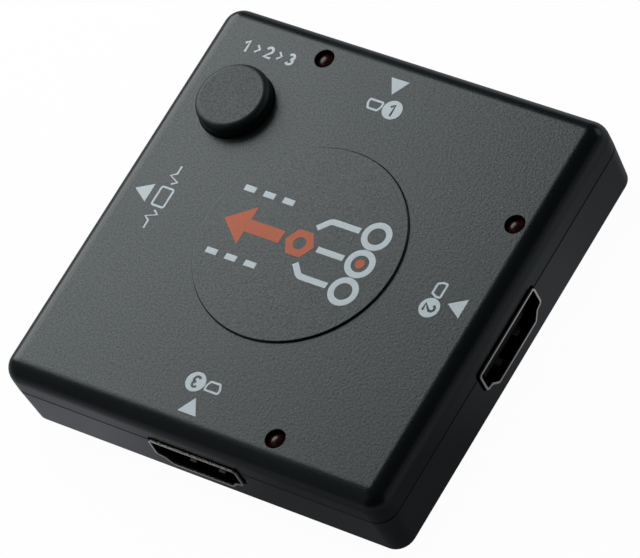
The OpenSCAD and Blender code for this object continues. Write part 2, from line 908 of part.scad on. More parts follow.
top_cover();
bottom_cover();
case_screws();
circuit_board();
select_button();
switch_base();
switch_plate();
switch_dome();
switch_plunger();
switch_terminals();
shell_at(input_1_turn);  // input_1_shell
shell_at(input_2_turn);  // input_2_shell
shell_at(input_3_turn);  // input_3_shell
shell_at(output_turn);  // output_shell
insulator_at(input_1_turn);  // input_1_insulator
insulator_at(input_2_turn);  // input_2_insulator
insulator_at(input_3_turn);  // input_3_insulator
insulator_at(output_turn);  // output_insulator
contacts_at(input_1_turn);  // input_1_contacts
contacts_at(input_2_turn);  // input_2_contacts
contacts_at(input_3_turn);  // input_3_contacts
contacts_at(output_turn);  // output_contacts
lamp_lens(input_1_turn);  // input_1_lamp
lamp_lens(input_2_turn);  // input_2_lamp
lamp_lens(input_3_turn);  // input_3_lamp
lamp_leads();
selector_chip();
selector_chip_pins();
memory_chips();
memory_chip_pins();
voltage_regulator();
regulator_pins();
chip_resistors();
chip_capacitors();
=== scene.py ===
"""Looks of a square three-to-one video switch box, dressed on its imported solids.

Sizes in the classes are millimetres, but those of the lamps and the floor are metres. Meshes are made in
metres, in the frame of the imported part: +X faces input 2, +Y input 1, -Y input 3 and -X the output, and the
base stands on z = 0.
"""

import json
import logging
import math
from dataclasses import dataclass
from enum import Enum
from typing import Any, Iterable, Sequence

import bmesh
import bpy
from mathutils import Matrix, Quaternion, Vector


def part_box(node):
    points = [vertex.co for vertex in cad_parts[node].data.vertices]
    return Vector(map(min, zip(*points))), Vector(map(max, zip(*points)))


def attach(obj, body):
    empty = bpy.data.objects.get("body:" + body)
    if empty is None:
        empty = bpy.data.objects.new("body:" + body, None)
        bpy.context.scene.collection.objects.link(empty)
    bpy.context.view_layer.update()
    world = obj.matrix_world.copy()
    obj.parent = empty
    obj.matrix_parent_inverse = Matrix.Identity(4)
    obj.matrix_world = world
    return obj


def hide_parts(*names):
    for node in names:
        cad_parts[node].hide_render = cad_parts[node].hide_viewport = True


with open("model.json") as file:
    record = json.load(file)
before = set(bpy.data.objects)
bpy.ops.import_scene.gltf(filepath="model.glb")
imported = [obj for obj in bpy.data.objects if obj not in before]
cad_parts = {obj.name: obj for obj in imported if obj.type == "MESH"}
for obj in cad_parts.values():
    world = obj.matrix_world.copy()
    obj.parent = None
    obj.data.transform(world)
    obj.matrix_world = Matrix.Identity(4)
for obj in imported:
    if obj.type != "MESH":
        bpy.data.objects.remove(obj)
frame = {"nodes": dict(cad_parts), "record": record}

LOG = logging.getLogger("switch_box")
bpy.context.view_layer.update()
MM = 0.001
QUARTER = math.pi / 2
WELD = 1e-8
FILM_WELD = 1e-7
FLAT_WEIGHT = 100
BEND_STEPS = 8
EDGE_STEPS = 4

Point = tuple[float, float]
Triple = tuple[float, float, float]
Colour = tuple[float, float, float, float]
Loop = list[Vector]
Mesh = bpy.types.Mesh
Object = bpy.types.Object
Material = bpy.types.Material
Node = bpy.types.Node
Socket = bpy.types.NodeSocket

WHITE: Colour = (1.0, 1.0, 1.0, 1.0)


class Body(Enum):
    """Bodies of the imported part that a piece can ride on."""

    CASE = "case"
    BUTTON = "button"


class Slot(Enum):
    """Material slots of the record."""

    CASE = "case_plastic"
    BUTTON = "button_plastic"
    SCREW = "screw_steel"
    BOARD = "board_green"
    NYLON = "black_nylon"
    TIN = "tinned_steel"
    NICKEL = "nickel_shell"
    GILT = "gilt_contacts"
    LENS = "red_lens"
    CHIP = "chip_epoxy"
    CERAMIC = "tan_ceramic"


class Side(Enum):
    """Sides of the case: the start of their nodes' names, and their turn about its axis in degrees."""

    INPUT_1 = ("input_1", 90.0)
    INPUT_2 = ("input_2", 0.0)
    INPUT_3 = ("input_3", -90.0)
    OUTPUT = ("output", 180.0)

    @property
    def prefix(self) -> str:
        """Start of the names of the nodes on this side."""
        return self.value[0]

    @property
    def degrees(self) -> float:
        """Turn of this side about the case's axis."""
        return self.value[1]

    @property
    def turn(self) -> Matrix:
        """Turn from a part that faces +X to one that faces this side."""
        return Matrix.Rotation(math.radians(self.degrees), 4, "Z")


INPUTS = (Side.INPUT_1, Side.INPUT_2, Side.INPUT_3)


def arc(centre: Point, radius: float, start: float, end: float, steps: int) -> list[Point]:
    """Points on an arc.

    Args:
        centre: Centre of the arc.
        radius: Its radius.
        start: Angle of the first point, in degrees.
        end: Angle of the last point, in degrees.
        steps: Number of stretches between the points.

    Returns:
        The points, both ends included.
    """
    angles = [math.radians(start + (end - start) * k / steps) for k in range(steps + 1)]
    return [(centre[0] + radius * math.cos(a), centre[1] + radius * math.sin(a)) for a in angles]


def circle(centre: Point, radius: float, steps: int = 64) -> list[Point]:
    """Closed ring of points about a centre."""
    return arc(centre, radius, 0.0, 360.0, steps)[:-1]


def grown(outline: Sequence[Point], distance: float) -> list[Point]:
    """Moves a closed outline outwards with mitred corners.

    Args:
        outline: Corners, anticlockwise.
        distance: How far each side moves out.

    Returns:
        The moved corners.
    """
    corners = [Vector(p) for p in outline]
    moved = []
    for i, corner in enumerate(corners):
        before = (corner - corners[i - 1]).normalized()
        after = (corners[(i + 1) % len(corners)] - corner).normalized()
        normals = (Vector((before.y, -before.x)), Vector((after.y, -after.x)))
        mitre = (normals[0] + normals[1]) / (1.0 + normals[0].dot(normals[1]))
        moved.append(tuple(corner + distance * mitre))
    return moved


def rounded(outline: Sequence[Point], radius: float, steps: int = 8) -> list[Point]:
    """Turns every corner of a closed outline into an arc.

    Args:
        outline: Corners in order.
        radius: Radius of the arcs.
        steps: Stretches in each arc.

    Returns:
        Points of the rounded outline.
    """
    corners = [Vector(p) for p in outline]
    points = []
    for i, corner in enumerate(corners):
        back = (corners[i - 1] - corner).normalized()
        on = (corners[(i + 1) % len(corners)] - corner).normalized()
        opening = back.angle(on)
        centre = corner + (back + on).normalized() * radius / math.sin(opening / 2)
        first = corner + back * radius / math.tan(opening / 2) - centre
        sweep = math.copysign(math.pi - opening, on.x * back.y - on.y * back.x)
        for k in range(steps + 1):
            turn = Matrix.Rotation(sweep * k / steps, 2)
            points.append(tuple(centre + turn @ first))
    return points


def square_loop(half: float, radius: float, height: float, steps: int = 10) -> Loop:
    """Level square with round corners.

    Args:
        half: Half of its width, in millimetres.
        radius: Radius of its corners.
        height: Its height above the base.
        steps: Stretches in each corner.

    Returns:
        Points in metres, anticlockwise from above.
    """
    flat = half - radius
    corners = ((flat, flat), (-flat, flat), (-flat, -flat), (flat, -flat))
    points = [p for k, c in enumerate(corners) for p in arc(c, radius, 90.0 * k, 90.0 * k + 90.0, steps)]
    return [Vector((x, y, height)) * MM for x, y in points]


def mesh_from(name: str, bm: bmesh.types.BMesh) -> Mesh:
    """Closes a bmesh into a named mesh with its faces pointing outwards.

    Args:
        name: Name of the mesh.
        bm: Closed solids, freed here.

    Returns:
        The mesh.
    """
    bmesh.ops.recalc_face_normals(bm, faces=bm.faces)
    mesh = bpy.data.meshes.new(name)
    bm.to_mesh(mesh)
    bm.free()
    return mesh


def lofted(name: str, loops: Sequence[Loop]) -> Mesh:
    """Skins a row of closed loops and caps both ends.

    Args:
        name: Name of the mesh.
        loops: Loops in metres, all with the same number of points.

    Returns:
        The closed mesh.
    """
    bm = bmesh.new()
    rings = [[bm.verts.new(p) for p in loop] for loop in loops]
    for low, high in zip(rings, rings[1:]):
        for i, corner in enumerate(low):
            j = (i + 1) % len(low)
            bm.faces.new((corner, low[j], high[j], high[i]))
    bm.faces.new(rings[0])
    bm.faces.new(rings[-1])
    return mesh_from(name, bm)


def revolved(name: str, profile: Sequence[Point], centre: Point = (0.0, 0.0), steps: int = 64) -> Mesh:
    """Turns a profile that starts and ends on the axis into a closed solid.

    Args:
        name: Name of the mesh.
        profile: Pairs of radius and height in millimetres, from the lower pole to the upper one.
        centre: Place of the upright axis.
        steps: Number of sides.

    Returns:
        The closed mesh, in metres.
    """
    bm = bmesh.new()
    poles = [bm.verts.new(Vector((*centre, profile[end][1])) * MM) for end in (0, -1)]
    rings = []
    for radius, height in profile[1:-1]:
        rings.append([bm.verts.new(Vector((x, y, height)) * MM) for x, y in circle(centre, radius, steps)])
    for i in range(steps):
        j = (i + 1) % steps
        bm.faces.new((poles[0], rings[0][i], rings[0][j]))
        for low, high in zip(rings, rings[1:]):
            bm.faces.new((low[i], low[j], high[j], high[i]))
        bm.faces.new((rings[-1][i], rings[-1][j], poles[1]))
    return mesh_from(name, bm)


def boxed(name: str, low: Sequence[float], high: Sequence[float]) -> Mesh:
    """Box between two corners, given in millimetres."""
    corners = [(low[0], low[1]), (high[0], low[1]), (high[0], high[1]), (low[0], high[1])]
    return lofted(name, [[Vector((x, y, z)) * MM for x, y in corners] for z in (low[2], high[2])])


def joined(name: str, meshes: Iterable[Mesh]) -> Mesh:
    """Puts several separate solids into one mesh and removes the single ones.

    Args:
        name: Name of the mesh.
        meshes: The solids, which don't overlap.

    Returns:
        One mesh that holds them all.
    """
    bm = bmesh.new()
    for mesh in meshes:
        bm.from_mesh(mesh)
        bpy.data.meshes.remove(mesh)
    return mesh_from(name, bm)


def placed(name: str, data: bpy.types.ID) -> Object:
    """New object in the scene, at the origin.

    Args:
        name: Name of the object.
        data: Mesh, lamp or camera that it holds.

    Returns:
        The object.
    """
    made = bpy.data.objects.new(name, data)
    bpy.context.scene.collection.objects.link(made)
    return made


def applied(made: Object) -> Object:
    """Turns an object's live modifiers into a plain mesh.

    Args:
        made: Object with modifiers.

    Returns:
        The same object, with the evaluated mesh and no modifiers.
    """
    graph = bpy.context.evaluated_depsgraph_get()
    evaluated = made.evaluated_get(graph)
    mesh = bpy.data.meshes.new_from_object(evaluated, preserve_all_data_layers=True, depsgraph=graph)
    made.modifiers.clear()
    made.data = mesh
    mesh.name = made.name
    return made


def shaded(made: Object, angle: float = 32.0) -> Object:
    """Smooths a mesh between its sharp edges, with the flat faces kept flat.

    Args:
        made: Object whose mesh is final.
        angle: Angle in degrees past which an edge stays sharp.

    Returns:
        The same object.
    """
    mesh = made.data
    mesh.shade_smooth()
    mesh.set_sharp_from_angle(angle=math.radians(angle))
    weighted = made.modifiers.new("flat faces", "WEIGHTED_NORMAL")
    weighted.keep_sharp = True
    weighted.weight = FLAT_WEIGHT
    return applied(made)


class Carving:
    """A solid that other solids are added to or cut from."""

    def __init__(self, name: str, mesh: Mesh) -> None:
        """Starts from one solid."""
        self.made = placed(name, mesh)
        self.tools: list[Object] = []

    def _apply(self, operation: str, mesh: Mesh) -> "Carving":
        """Stacks one exact Boolean.

        Args:
            operation: Blender's name for what it does.
            mesh: The other solid.

        Returns:
            This carving.
        """
        tool = placed(mesh.name, mesh)
        self.tools.append(tool)
        step = self.made.modifiers.new(mesh.name, "BOOLEAN")
        step.operation = operation
        step.solver = "EXACT"
        step.object = tool
        return self

    def add(self, mesh: Mesh) -> "Carving":
        """Fuses another solid to this one."""
        return self._apply("UNION", mesh)

    def cut(self, mesh: Mesh) -> "Carving":
        """Takes another solid away from this one."""
        return self._apply("DIFFERENCE", mesh)

    def done(self) -> Object:
        """Finishes the solid.

        Returns:
            The object with its final mesh, shaded.
        """
        applied(self.made)
        for tool in self.tools:
            bpy.data.objects.remove(tool)
        return shaded(self.made)

    def taken(self) -> Mesh:
        """Finishes the solid and gives its mesh alone.

        Returns:
            The final mesh, shaded.
        """
        made = self.done()
        mesh = made.data
        bpy.data.objects.remove(made)
        return mesh


class Nodes:
    """Short way to fill a node tree."""

    COLOUR_INPUTS = (0, 6, 7)

    def __init__(self, tree: bpy.types.NodeTree) -> None:
        """Keeps the tree that is filled."""
        self.tree = tree

    def add(self, kind: str, inputs: dict[Any, Any] | None = None, **settings: Any) -> Node:
        """Adds a node.

        Args:
            kind: Blender's name for the node type.
            inputs: Values or source sockets, by the input's name or number.
            **settings: Properties of the node.

        Returns:
            The new node.
        """
        made = self.tree.nodes.new(kind)
        for key, value in settings.items():
            setattr(made, key, value)
        self.fill(made, inputs or {})
        return made

    def fill(self, node: Node, inputs: dict[Any, Any]) -> None:
        """Feeds several inputs of a node, by name or number."""
        for key, value in inputs.items():
            self.feed(node.inputs[key], value)

    def feed(self, socket: Socket, value: Any) -> None:
        """Links a socket to its source, or sets its value.

        Args:
            socket: Input of a node.
            value: Source socket or plain value.
        """
        if isinstance(value, Socket):
            self.tree.links.new(value, socket)
        else:
            socket.default_value = value

    def math(self, operation: str, first: Any, second: Any = 0.0) -> Socket:
        """Output of a Math node with two inputs."""
        return self.add("ShaderNodeMath", {0: first, 1: second}, operation=operation).outputs[0]

    def spread(self, value: Any, low: float, high: float, start: float = 0.0, end: float = 1.0) -> Socket:
        """Output of a Map Range node that takes low..high to start..end, clamped."""
        names = {"Value": value, "From Min": low, "From Max": high, "To Min": start, "To Max": end}
        return self.add("ShaderNodeMapRange", names).outputs["Result"]

    def ranged(self, value: Any, ends: Point) -> Socket:
        """Output that takes 0..1 to a range."""
        return self.spread(value, 0.0, 1.0, *ends)

    def mix(self, factor: Any, first: Any, second: Any) -> Socket:
        """Value between two values."""
        return self.add("ShaderNodeMix", {0: factor, 2: first, 3: second}).outputs[0]

    def blend(self, factor: Any, first: Any, second: Any) -> Socket:
        """Colour between two colours."""
        inputs = dict(zip(self.COLOUR_INPUTS, (factor, first, second)))
        return self.add("ShaderNodeMix", inputs, data_type="RGBA").outputs[2]

    def place(self) -> Socket:
        """Place on the piece, in metres."""
        return self.add("ShaderNodeTexCoord").outputs["Object"]

    def axes(self, vector: Any) -> Any:
        """Outputs X, Y and Z of a vector."""
        return self.add("ShaderNodeSeparateXYZ", {0: vector}).outputs

    def noise(self, vector: Any, scale: Any, detail: float = 2.0, rough: float = 0.5) -> Socket:
        """Value of a Noise texture."""
        names = {"Vector": vector, "Scale": scale, "Detail": detail, "Roughness": rough}
        return self.add("ShaderNodeTexNoise", names).outputs["Fac"]


class GeometryTree:
    """Geometry Nodes tree with named inputs that ends in Realize Instances and Set Material."""

    def __init__(self, name: str, inputs: dict[str, str]) -> None:
        """Makes the tree's sockets.

        Args:
            name: Name of the tree.
            inputs: Socket type of each named input.
        """
        self.tree = bpy.data.node_groups.new(name, "GeometryNodeTree")
        sockets = {"Geometry": "NodeSocketGeometry", **inputs, "Material": "NodeSocketMaterial"}
        for label, kind in sockets.items():
            self.tree.interface.new_socket(label, in_out="INPUT", socket_type=kind)
        self.tree.interface.new_socket("Geometry", in_out="OUTPUT", socket_type="NodeSocketGeometry")
        self.nodes = Nodes(self.tree)
        self.source = self.tree.nodes.new("NodeGroupInput")

    def value(self, label: str) -> Socket:
        """Source socket of a named input."""
        return self.source.outputs[label]

    def close(self, geometry: Socket) -> None:
        """Ends the tree with real geometry that carries its material.

        Args:
            geometry: What the tree has made.
        """
        real = self.nodes.add("GeometryNodeRealizeInstances", {"Geometry": geometry}).outputs[0]
        names = {"Geometry": real, "Material": self.value("Material")}
        dressed = self.nodes.add("GeometryNodeSetMaterial", names).outputs[0]
        self.nodes.add("NodeGroupOutput", {"Geometry": dressed})

    def run(self, name: str, mesh: Mesh, values: dict[str, Any]) -> Mesh:
        """Runs the tree on a mesh.

        Args:
            name: Name of the result.
            mesh: Mesh that feeds the tree.
            values: Values of the named inputs.

        Returns:
            The result as a plain mesh with its faces outwards.
        """
        made = placed(name, mesh)
        step = made.modifiers.new(self.tree.name, "NODES")
        step.node_group = self.tree
        for item in self.tree.interface.items_tree:
            if item.in_out == "INPUT" and item.name in values:
                step[item.identifier] = values[item.name]
        applied(made)
        result = made.data
        bpy.data.objects.remove(made)
        bm = bmesh.new()
        bm.from_mesh(result)
        bmesh.ops.remove_doubles(bm, verts=bm.verts, dist=WELD)
        bmesh.ops.recalc_face_normals(bm, faces=bm.faces)
        bm.to_mesh(result)
        bm.free()
        return result


def path_mesh(name: str, points: Sequence[Sequence[float]], closed: bool = False) -> Mesh:
    """Chain of edges through points given in millimetres.

    Args:
        name: Name of the mesh.
        points: Points in two or three axes.
        closed: Whether the last one leads to the first.

    Returns:
        The edges, in metres.
    """
    count = len(points)
    edges = [(i, (i + 1) % count) for i in range(count if closed else count - 1)]
    mesh = bpy.data.meshes.new(name)
    mesh.from_pydata([Vector((*p, 0.0)[:3]) * MM for p in points], edges, [])
    return mesh


def strip_tree() -> GeometryTree:
    """Tree that draws a flat bar along a path.

    Returns:
        Tree with the inputs Width, Thickness, Edge radius and Bend radius.
    """
    labels = ("Width", "Thickness", "Edge radius", "Bend radius")
    tree = GeometryTree("flat_strip", {label: "NodeSocketFloat" for label in labels})
    nodes = tree.nodes
    path = nodes.add("GeometryNodeMeshToCurve", {"Mesh": tree.value("Geometry")}).outputs[0]
    bends = nodes.add(
        "GeometryNodeFilletCurve",
        {"Curve": path, "Radius": tree.value("Bend radius"), "Count": BEND_STEPS, "Limit Radius": True},
        mode="POLY",
    ).outputs[0]
    section = nodes.add(
        "GeometryNodeCurvePrimitiveQuadrilateral",
        {"Width": tree.value("Width"), "Height": tree.value("Thickness")},
    ).outputs[0]
    soft = nodes.add(
        "GeometryNodeFilletCurve",
        {"Curve": section, "Radius": tree.value("Edge radius"), "Count": EDGE_STEPS, "Limit Radius": True},
        mode="POLY",
    ).outputs[0]
    swept = nodes.add("GeometryNodeCurveToMesh", {"Curve": bends, "Profile Curve": soft, "Fill Caps": True})
    tree.close(swept.outputs[0])
    return tree


def film_tree() -> GeometryTree:
    """Tree that prints closed outlines as a film of ink, with one inside another left bare.

    Returns:
        Tree with the input Film, the thickness of the ink.
    """
    tree = GeometryTree("ink_film", {"Film": "NodeSocketFloat"})
    nodes = tree.nodes
    edges = nodes.add("GeometryNodeMeshToCurve", {"Mesh": tree.value("Geometry")}).outputs[0]
    filled = nodes.add("GeometryNodeFillCurve", {"Curve": edges}, mode="TRIANGLES").outputs[0]
    rise = nodes.add("ShaderNodeCombineXYZ", {"Z": tree.value("Film")}).outputs[0]
    raised = nodes.add(
        "GeometryNodeExtrudeMesh",
        {"Mesh": filled, "Offset": rise, "Offset Scale": 1.0, "Individual": False},
        mode="FACES",
    ).outputs[0]
    whole = nodes.add("GeometryNodeJoinGeometry")
    for part in (nodes.add("GeometryNodeFlipFaces", {"Mesh": filled}).outputs[0], raised):
        nodes.tree.links.new(part, whole.inputs[0])
    names = {"Geometry": whole.outputs[0], "Distance": FILM_WELD}
    welded = nodes.add("GeometryNodeMergeByDistance", names)
    tree.close(welded.outputs[0])
    return tree


def scatter_tree() -> GeometryTree:
    """Tree that sets a copy of one object on every point, each turned by a random angle.

    Returns:
        Tree with the inputs Copy, Turn and Seed.
    """
    kinds = {"Copy": "NodeSocketObject", "Turn": "NodeSocketFloat", "Seed": "NodeSocketInt"}
    tree = GeometryTree("on_points", kinds)
    nodes = tree.nodes
    copy = nodes.add("GeometryNodeObjectInfo", {"Object": tree.value("Copy")}).outputs["Geometry"]
    turn = nodes.add("FunctionNodeRandomValue", data_type="FLOAT")
    nodes.feed(turn.inputs[3], tree.value("Turn"))
    nodes.feed(turn.inputs["Seed"], tree.value("Seed"))
    angles = nodes.add("ShaderNodeCombineXYZ", {"Z": turn.outputs[1]}).outputs[0]
    names = {"Points": tree.value("Geometry"), "Instance": copy, "Rotation": angles}
    copies = nodes.add("GeometryNodeInstanceOnPoints", names).outputs[0]
    tree.close(copies)
    return tree


@dataclass
class Effects:
    """Shader node groups that several finishes share."""

    grain_detail: float = 3.0
    grain_rough: float = 0.6
    grain_weight: float = 0.65
    pit_scale: float = 0.7
    pit_weight: float = 0.5
    speck: Point = (0.32, 0.68)
    mottle_detail: float = 4.0
    mottle_rough: float = 0.55
    mottle: Point = (0.3, 0.7)
    rolled: Triple = (1.0, 1.0, 9.0)
    sheet_detail: float = 3.0
    streak_rough: float = 0.6
    streak: Point = (0.3, 0.7)
    bloom_rough: float = 0.5
    bloom: Point = (0.35, 0.7)

    def __post_init__(self) -> None:
        """Builds each group once."""
        self.grain = self._grain()
        self.sheet = self._sheet()

    @staticmethod
    def _group(name: str, inputs: dict[str, float], outputs: Sequence[str]) -> tuple[Nodes, Node]:
        """Starts a group.

        Args:
            name: Name of the group.
            inputs: Default of each named input.
            outputs: Names of the outputs.

        Returns:
            The group's nodes and its input node.
        """
        tree = bpy.data.node_groups.new(name, "ShaderNodeTree")
        for label, default in inputs.items():
            socket = tree.interface.new_socket(label, in_out="INPUT", socket_type="NodeSocketFloat")
            socket.default_value = default
        for label in outputs:
            tree.interface.new_socket(label, in_out="OUTPUT", socket_type="NodeSocketFloat")
        return Nodes(tree), tree.nodes.new("NodeGroupInput")

    @staticmethod
    def put(nodes: Nodes, tree: bpy.types.NodeTree, pitches: dict[str, float]) -> Node:
        """Group node in a material, with a pitch in millimetres for each scale that is set."""
        scales = {label: 1.0 / (pitch * MM) for label, pitch in pitches.items()}
        return nodes.add("ShaderNodeGroup", scales, node_tree=tree)

    def _grain(self) -> bpy.types.NodeTree:
        """Spark-eroded grain of a mould, with soft mottling.

        Returns:
            Group with the outputs Height, Speck and Mottle, each from 0 to 1.
        """
        scales = {"Grain scale": 4200.0, "Mottle scale": 60.0}
        nodes, source = self._group("moulded_grain", scales, ("Height", "Speck", "Mottle"))
        place = nodes.place()
        scale = source.outputs["Grain scale"]
        fine = nodes.noise(place, scale, self.grain_detail, self.grain_rough)
        names = {"Vector": place, "Scale": nodes.math("MULTIPLY", scale, self.pit_scale)}
        pits = nodes.add("ShaderNodeTexVoronoi", names, feature="SMOOTH_F1").outputs["Distance"]
        raised = nodes.math("MULTIPLY", fine, self.grain_weight)
        height = nodes.math("ADD", raised, nodes.math("MULTIPLY", pits, self.pit_weight))
        broad = nodes.noise(place, source.outputs["Mottle scale"], self.mottle_detail, self.mottle_rough)
        results = {
            "Height": height,
            "Speck": nodes.spread(fine, *self.speck),
            "Mottle": nodes.spread(broad, *self.mottle),
        }
        nodes.add("NodeGroupOutput", results)
        return nodes.tree

    def _sheet(self) -> bpy.types.NodeTree:
        """Rolling marks and bloom of plated sheet metal.

        Returns:
            Group with the outputs Streak, Bloom and Height, each from 0 to 1.
        """
        scales = {"Streak scale": 900.0, "Bloom scale": 260.0}
        nodes, source = self._group("rolled_sheet", scales, ("Streak", "Bloom", "Height"))
        place = nodes.place()
        drawn = nodes.add("ShaderNodeMapping", {"Vector": place, "Scale": self.rolled}).outputs[0]
        lines = nodes.noise(drawn, source.outputs["Streak scale"], self.sheet_detail, self.streak_rough)
        bloom = nodes.noise(place, source.outputs["Bloom scale"], self.sheet_detail, self.bloom_rough)
        results = {
            "Streak": nodes.spread(lines, *self.streak),
            "Bloom": nodes.spread(bloom, *self.bloom),
            "Height": lines,
        }
        nodes.add("NodeGroupOutput", results)
        return nodes.tree


def rgb(red: float, green: float, blue: float) -> Colour:
    """Opaque linear colour."""
    return (red, green, blue, 1.0)


def bare_material(name: str) -> tuple[Material, Nodes]:
    """Material without any nodes.

    Args:
        name: Name of the material.

    Returns:
        The material and its empty node tree.
    """
    material = bpy.data.materials.new(name)
    material.use_nodes = True
    material.node_tree.nodes.clear()
    return material, Nodes(material.node_tree)


def new_material(name: str) -> tuple[Material, Nodes, Node]:
    """Material with a Principled BSDF.

    Args:
        name: Name of the material.

    Returns:
        The material, its nodes, and the Principled BSDF.
    """
    material, nodes = bare_material(name)
    shader = nodes.add("ShaderNodeBsdfPrincipled")
    nodes.add("ShaderNodeOutputMaterial", {"Surface": shader.outputs[0]})
    return material, nodes, shader


def bump(nodes: Nodes, height: Socket, strength: Any, depth: float) -> Socket:
    """Normal from a height, with the depth in millimetres."""
    names = {"Height": height, "Strength": strength, "Distance": depth * MM}
    return nodes.add("ShaderNodeBump", names).outputs[0]


@dataclass(frozen=True)
class MouldedPlastic:
    """Moulded plastic with a fine grain on faces that look up, and smoother sides; the faces that look up
    also get a paler tone, which is painted light.
    """

    name: str
    dark: Colour
    light: Colour
    grain_pitch: float = 0.25
    mottle_pitch: float = 16.0
    rough: Point = (0.3, 0.36)
    side_rough: Point = (0.23, 0.3)
    side_grain: float = 0.1
    grained: Point = (0.985, 0.998)
    grain_depth: float = 0.05
    grain_strength: float = 0.8
    speck: float = 0.8
    specular: float = 0.5
    coat: Point = (0.0, 0.6)
    side_coat: float = 0.15
    coat_rough: float = 0.33
    gloss_tint: Colour = (0.9, 1.0, 1.0, 1.0)

    def build(self, effects: Effects) -> Material:
        """Makes the material from the shared grain, which fades out where the surface turns down, and with it
        the paler tone that is painted light on the faces that look up.

        Args:
            effects: The shared node groups.

        Returns:
            The material.
        """
        material, nodes, shader = new_material(self.name)
        pitches = {"Grain scale": self.grain_pitch, "Mottle scale": self.mottle_pitch}
        group = effects.put(nodes, effects.grain, pitches).outputs
        upward = nodes.axes(nodes.add("ShaderNodeTexCoord").outputs["Normal"])["Z"]
        share = nodes.spread(upward, *self.grained, self.side_grain, 1.0)
        flat = nodes.spread(upward, *self.grained)
        speck = nodes.math("MULTIPLY", group["Speck"], self.speck)
        mottle = nodes.math("MULTIPLY", group["Mottle"], 1.0 - self.speck)
        # painted light: the paler tone of the specks and mottle reaches full strength only on faces that look
        # up
        grain_and_top_light = nodes.math("MULTIPLY", nodes.math("ADD", speck, mottle), share)
        face = nodes.ranged(group["Mottle"], self.rough)
        side = nodes.ranged(group["Mottle"], self.side_rough)
        strength = nodes.math("MULTIPLY", share, self.grain_strength)
        looks = {
            "Base Color": nodes.blend(grain_and_top_light, self.dark, self.light),
            "Roughness": nodes.mix(flat, side, face),
            "Coat Weight": nodes.mix(flat, self.side_coat, nodes.ranged(group["Speck"], self.coat)),
            "Coat Roughness": self.coat_rough,
            "Normal": bump(nodes, group["Height"], strength, self.grain_depth),
            "Specular IOR Level": self.specular,
            "Specular Tint": self.gloss_tint,
        }
        nodes.fill(shader, looks)
        return material


@dataclass(frozen=True)
class PlatedMetal:
    """Plated or bare metal with rolling marks and a light bloom."""

    name: str
    bright: Colour
    dull: Colour
    rough: Point = (0.18, 0.38)
    streak_pitch: float = 0.5
    bloom_pitch: float = 4.0
    depth: float = 0.004
    strength: float = 0.3

    def tone(self, nodes: Nodes, bloom: Socket) -> Socket:
        """Colour of the plating, from bright to dull where the bloom is."""
        return nodes.blend(bloom, self.bright, self.dull)

    def build(self, effects: Effects) -> Material:
        """Makes the material from the shared sheet effect.

        Args:
            effects: The shared node groups.

        Returns:
            The material.
        """
        material, nodes, shader = new_material(self.name)
        pitches = {"Streak scale": self.streak_pitch, "Bloom scale": self.bloom_pitch}
        group = effects.put(nodes, effects.sheet, pitches).outputs
        looks = {
            "Base Color": self.tone(nodes, group["Bloom"]),
            "Roughness": nodes.ranged(group["Streak"], self.rough),
            "Normal": bump(nodes, group["Height"], self.strength, self.depth),
            "Metallic": 1.0,
        }
        nodes.fill(shader, looks)
        return material


@dataclass(frozen=True)
class ShellMetal(PlatedMetal):
    """Plated sheet of the sockets, with painted shade inside the mouth but for the rim and the fingers."""

    # painted shade: the dark colour that the sheet takes inside the mouth
    tarnish: Colour = (0.075, 0.07, 0.064, 1.0)
    rim_depth: float = 0.2
    finger_reach: float = 3.4
    finger_low: float = 0.06
    finger_high: float = 0.8
    fade: float = 0.08

    def tone(self, nodes: Nodes, bloom: Socket) -> Socket:
        """Colour of the plating, with painted shade inside the mouth.

        Args:
            nodes: Nodes of the material.
            bloom: Bloom of the shared sheet effect.

        Returns:
            The colour.
        """
        shape = SocketShape()
        split = nodes.axes(nodes.place())
        sizes = [nodes.math("ABSOLUTE", split[axis]) for axis in ("X", "Y")]
        start = shape.rim - self.rim_depth
        floor = shape.mouth_z + self.finger_low
        rim = nodes.spread(nodes.math("MAXIMUM", *sizes), (start - self.fade) * MM, start * MM)
        finger = nodes.spread(split["Z"], floor * MM, (floor + self.fade) * MM)
        limits = (
            (split["Z"], shape.mouth_z + self.finger_high),
            (nodes.math("MINIMUM", *sizes), self.finger_reach),
        )
        for value, limit in limits:
            finger = nodes.math("MULTIPLY", finger, nodes.math("LESS_THAN", value, limit * MM))
        # the rim and the fingers keep the plating; the rest of the inside gets the painted shade
        unshaded = nodes.math("MAXIMUM", rim, finger)
        return nodes.blend(unshaded, self.tarnish, super().tone(nodes, bloom))


@dataclass(frozen=True)
class PrintInk:
    """Pad-printed ink that follows the grain below it."""

    name: str
    full: Colour
    thin: Colour
    grain_pitch: float = 0.15
    rough: Point = (0.44, 0.56)
    worn_from: float = 0.55
    worn: Point = (0.0, 0.6)
    grain_strength: float = 0.2
    grain_depth: float = 0.015

    def build(self, effects: Effects) -> Material:
        """Makes the material: thin spots where the grain stands up.

        Args:
            effects: The shared node groups.

        Returns:
            The material.
        """
        material, nodes, shader = new_material(self.name)
        group = effects.put(nodes, effects.grain, {"Grain scale": self.grain_pitch}).outputs
        spots = nodes.spread(group["Speck"], self.worn_from, 1.0, *self.worn)
        looks = {
            "Base Color": nodes.blend(spots, self.full, self.thin),
            "Roughness": nodes.ranged(group["Mottle"], self.rough),
            "Normal": bump(nodes, group["Height"], self.grain_strength, self.grain_depth),
        }
        nodes.fill(shader, looks)
        return material


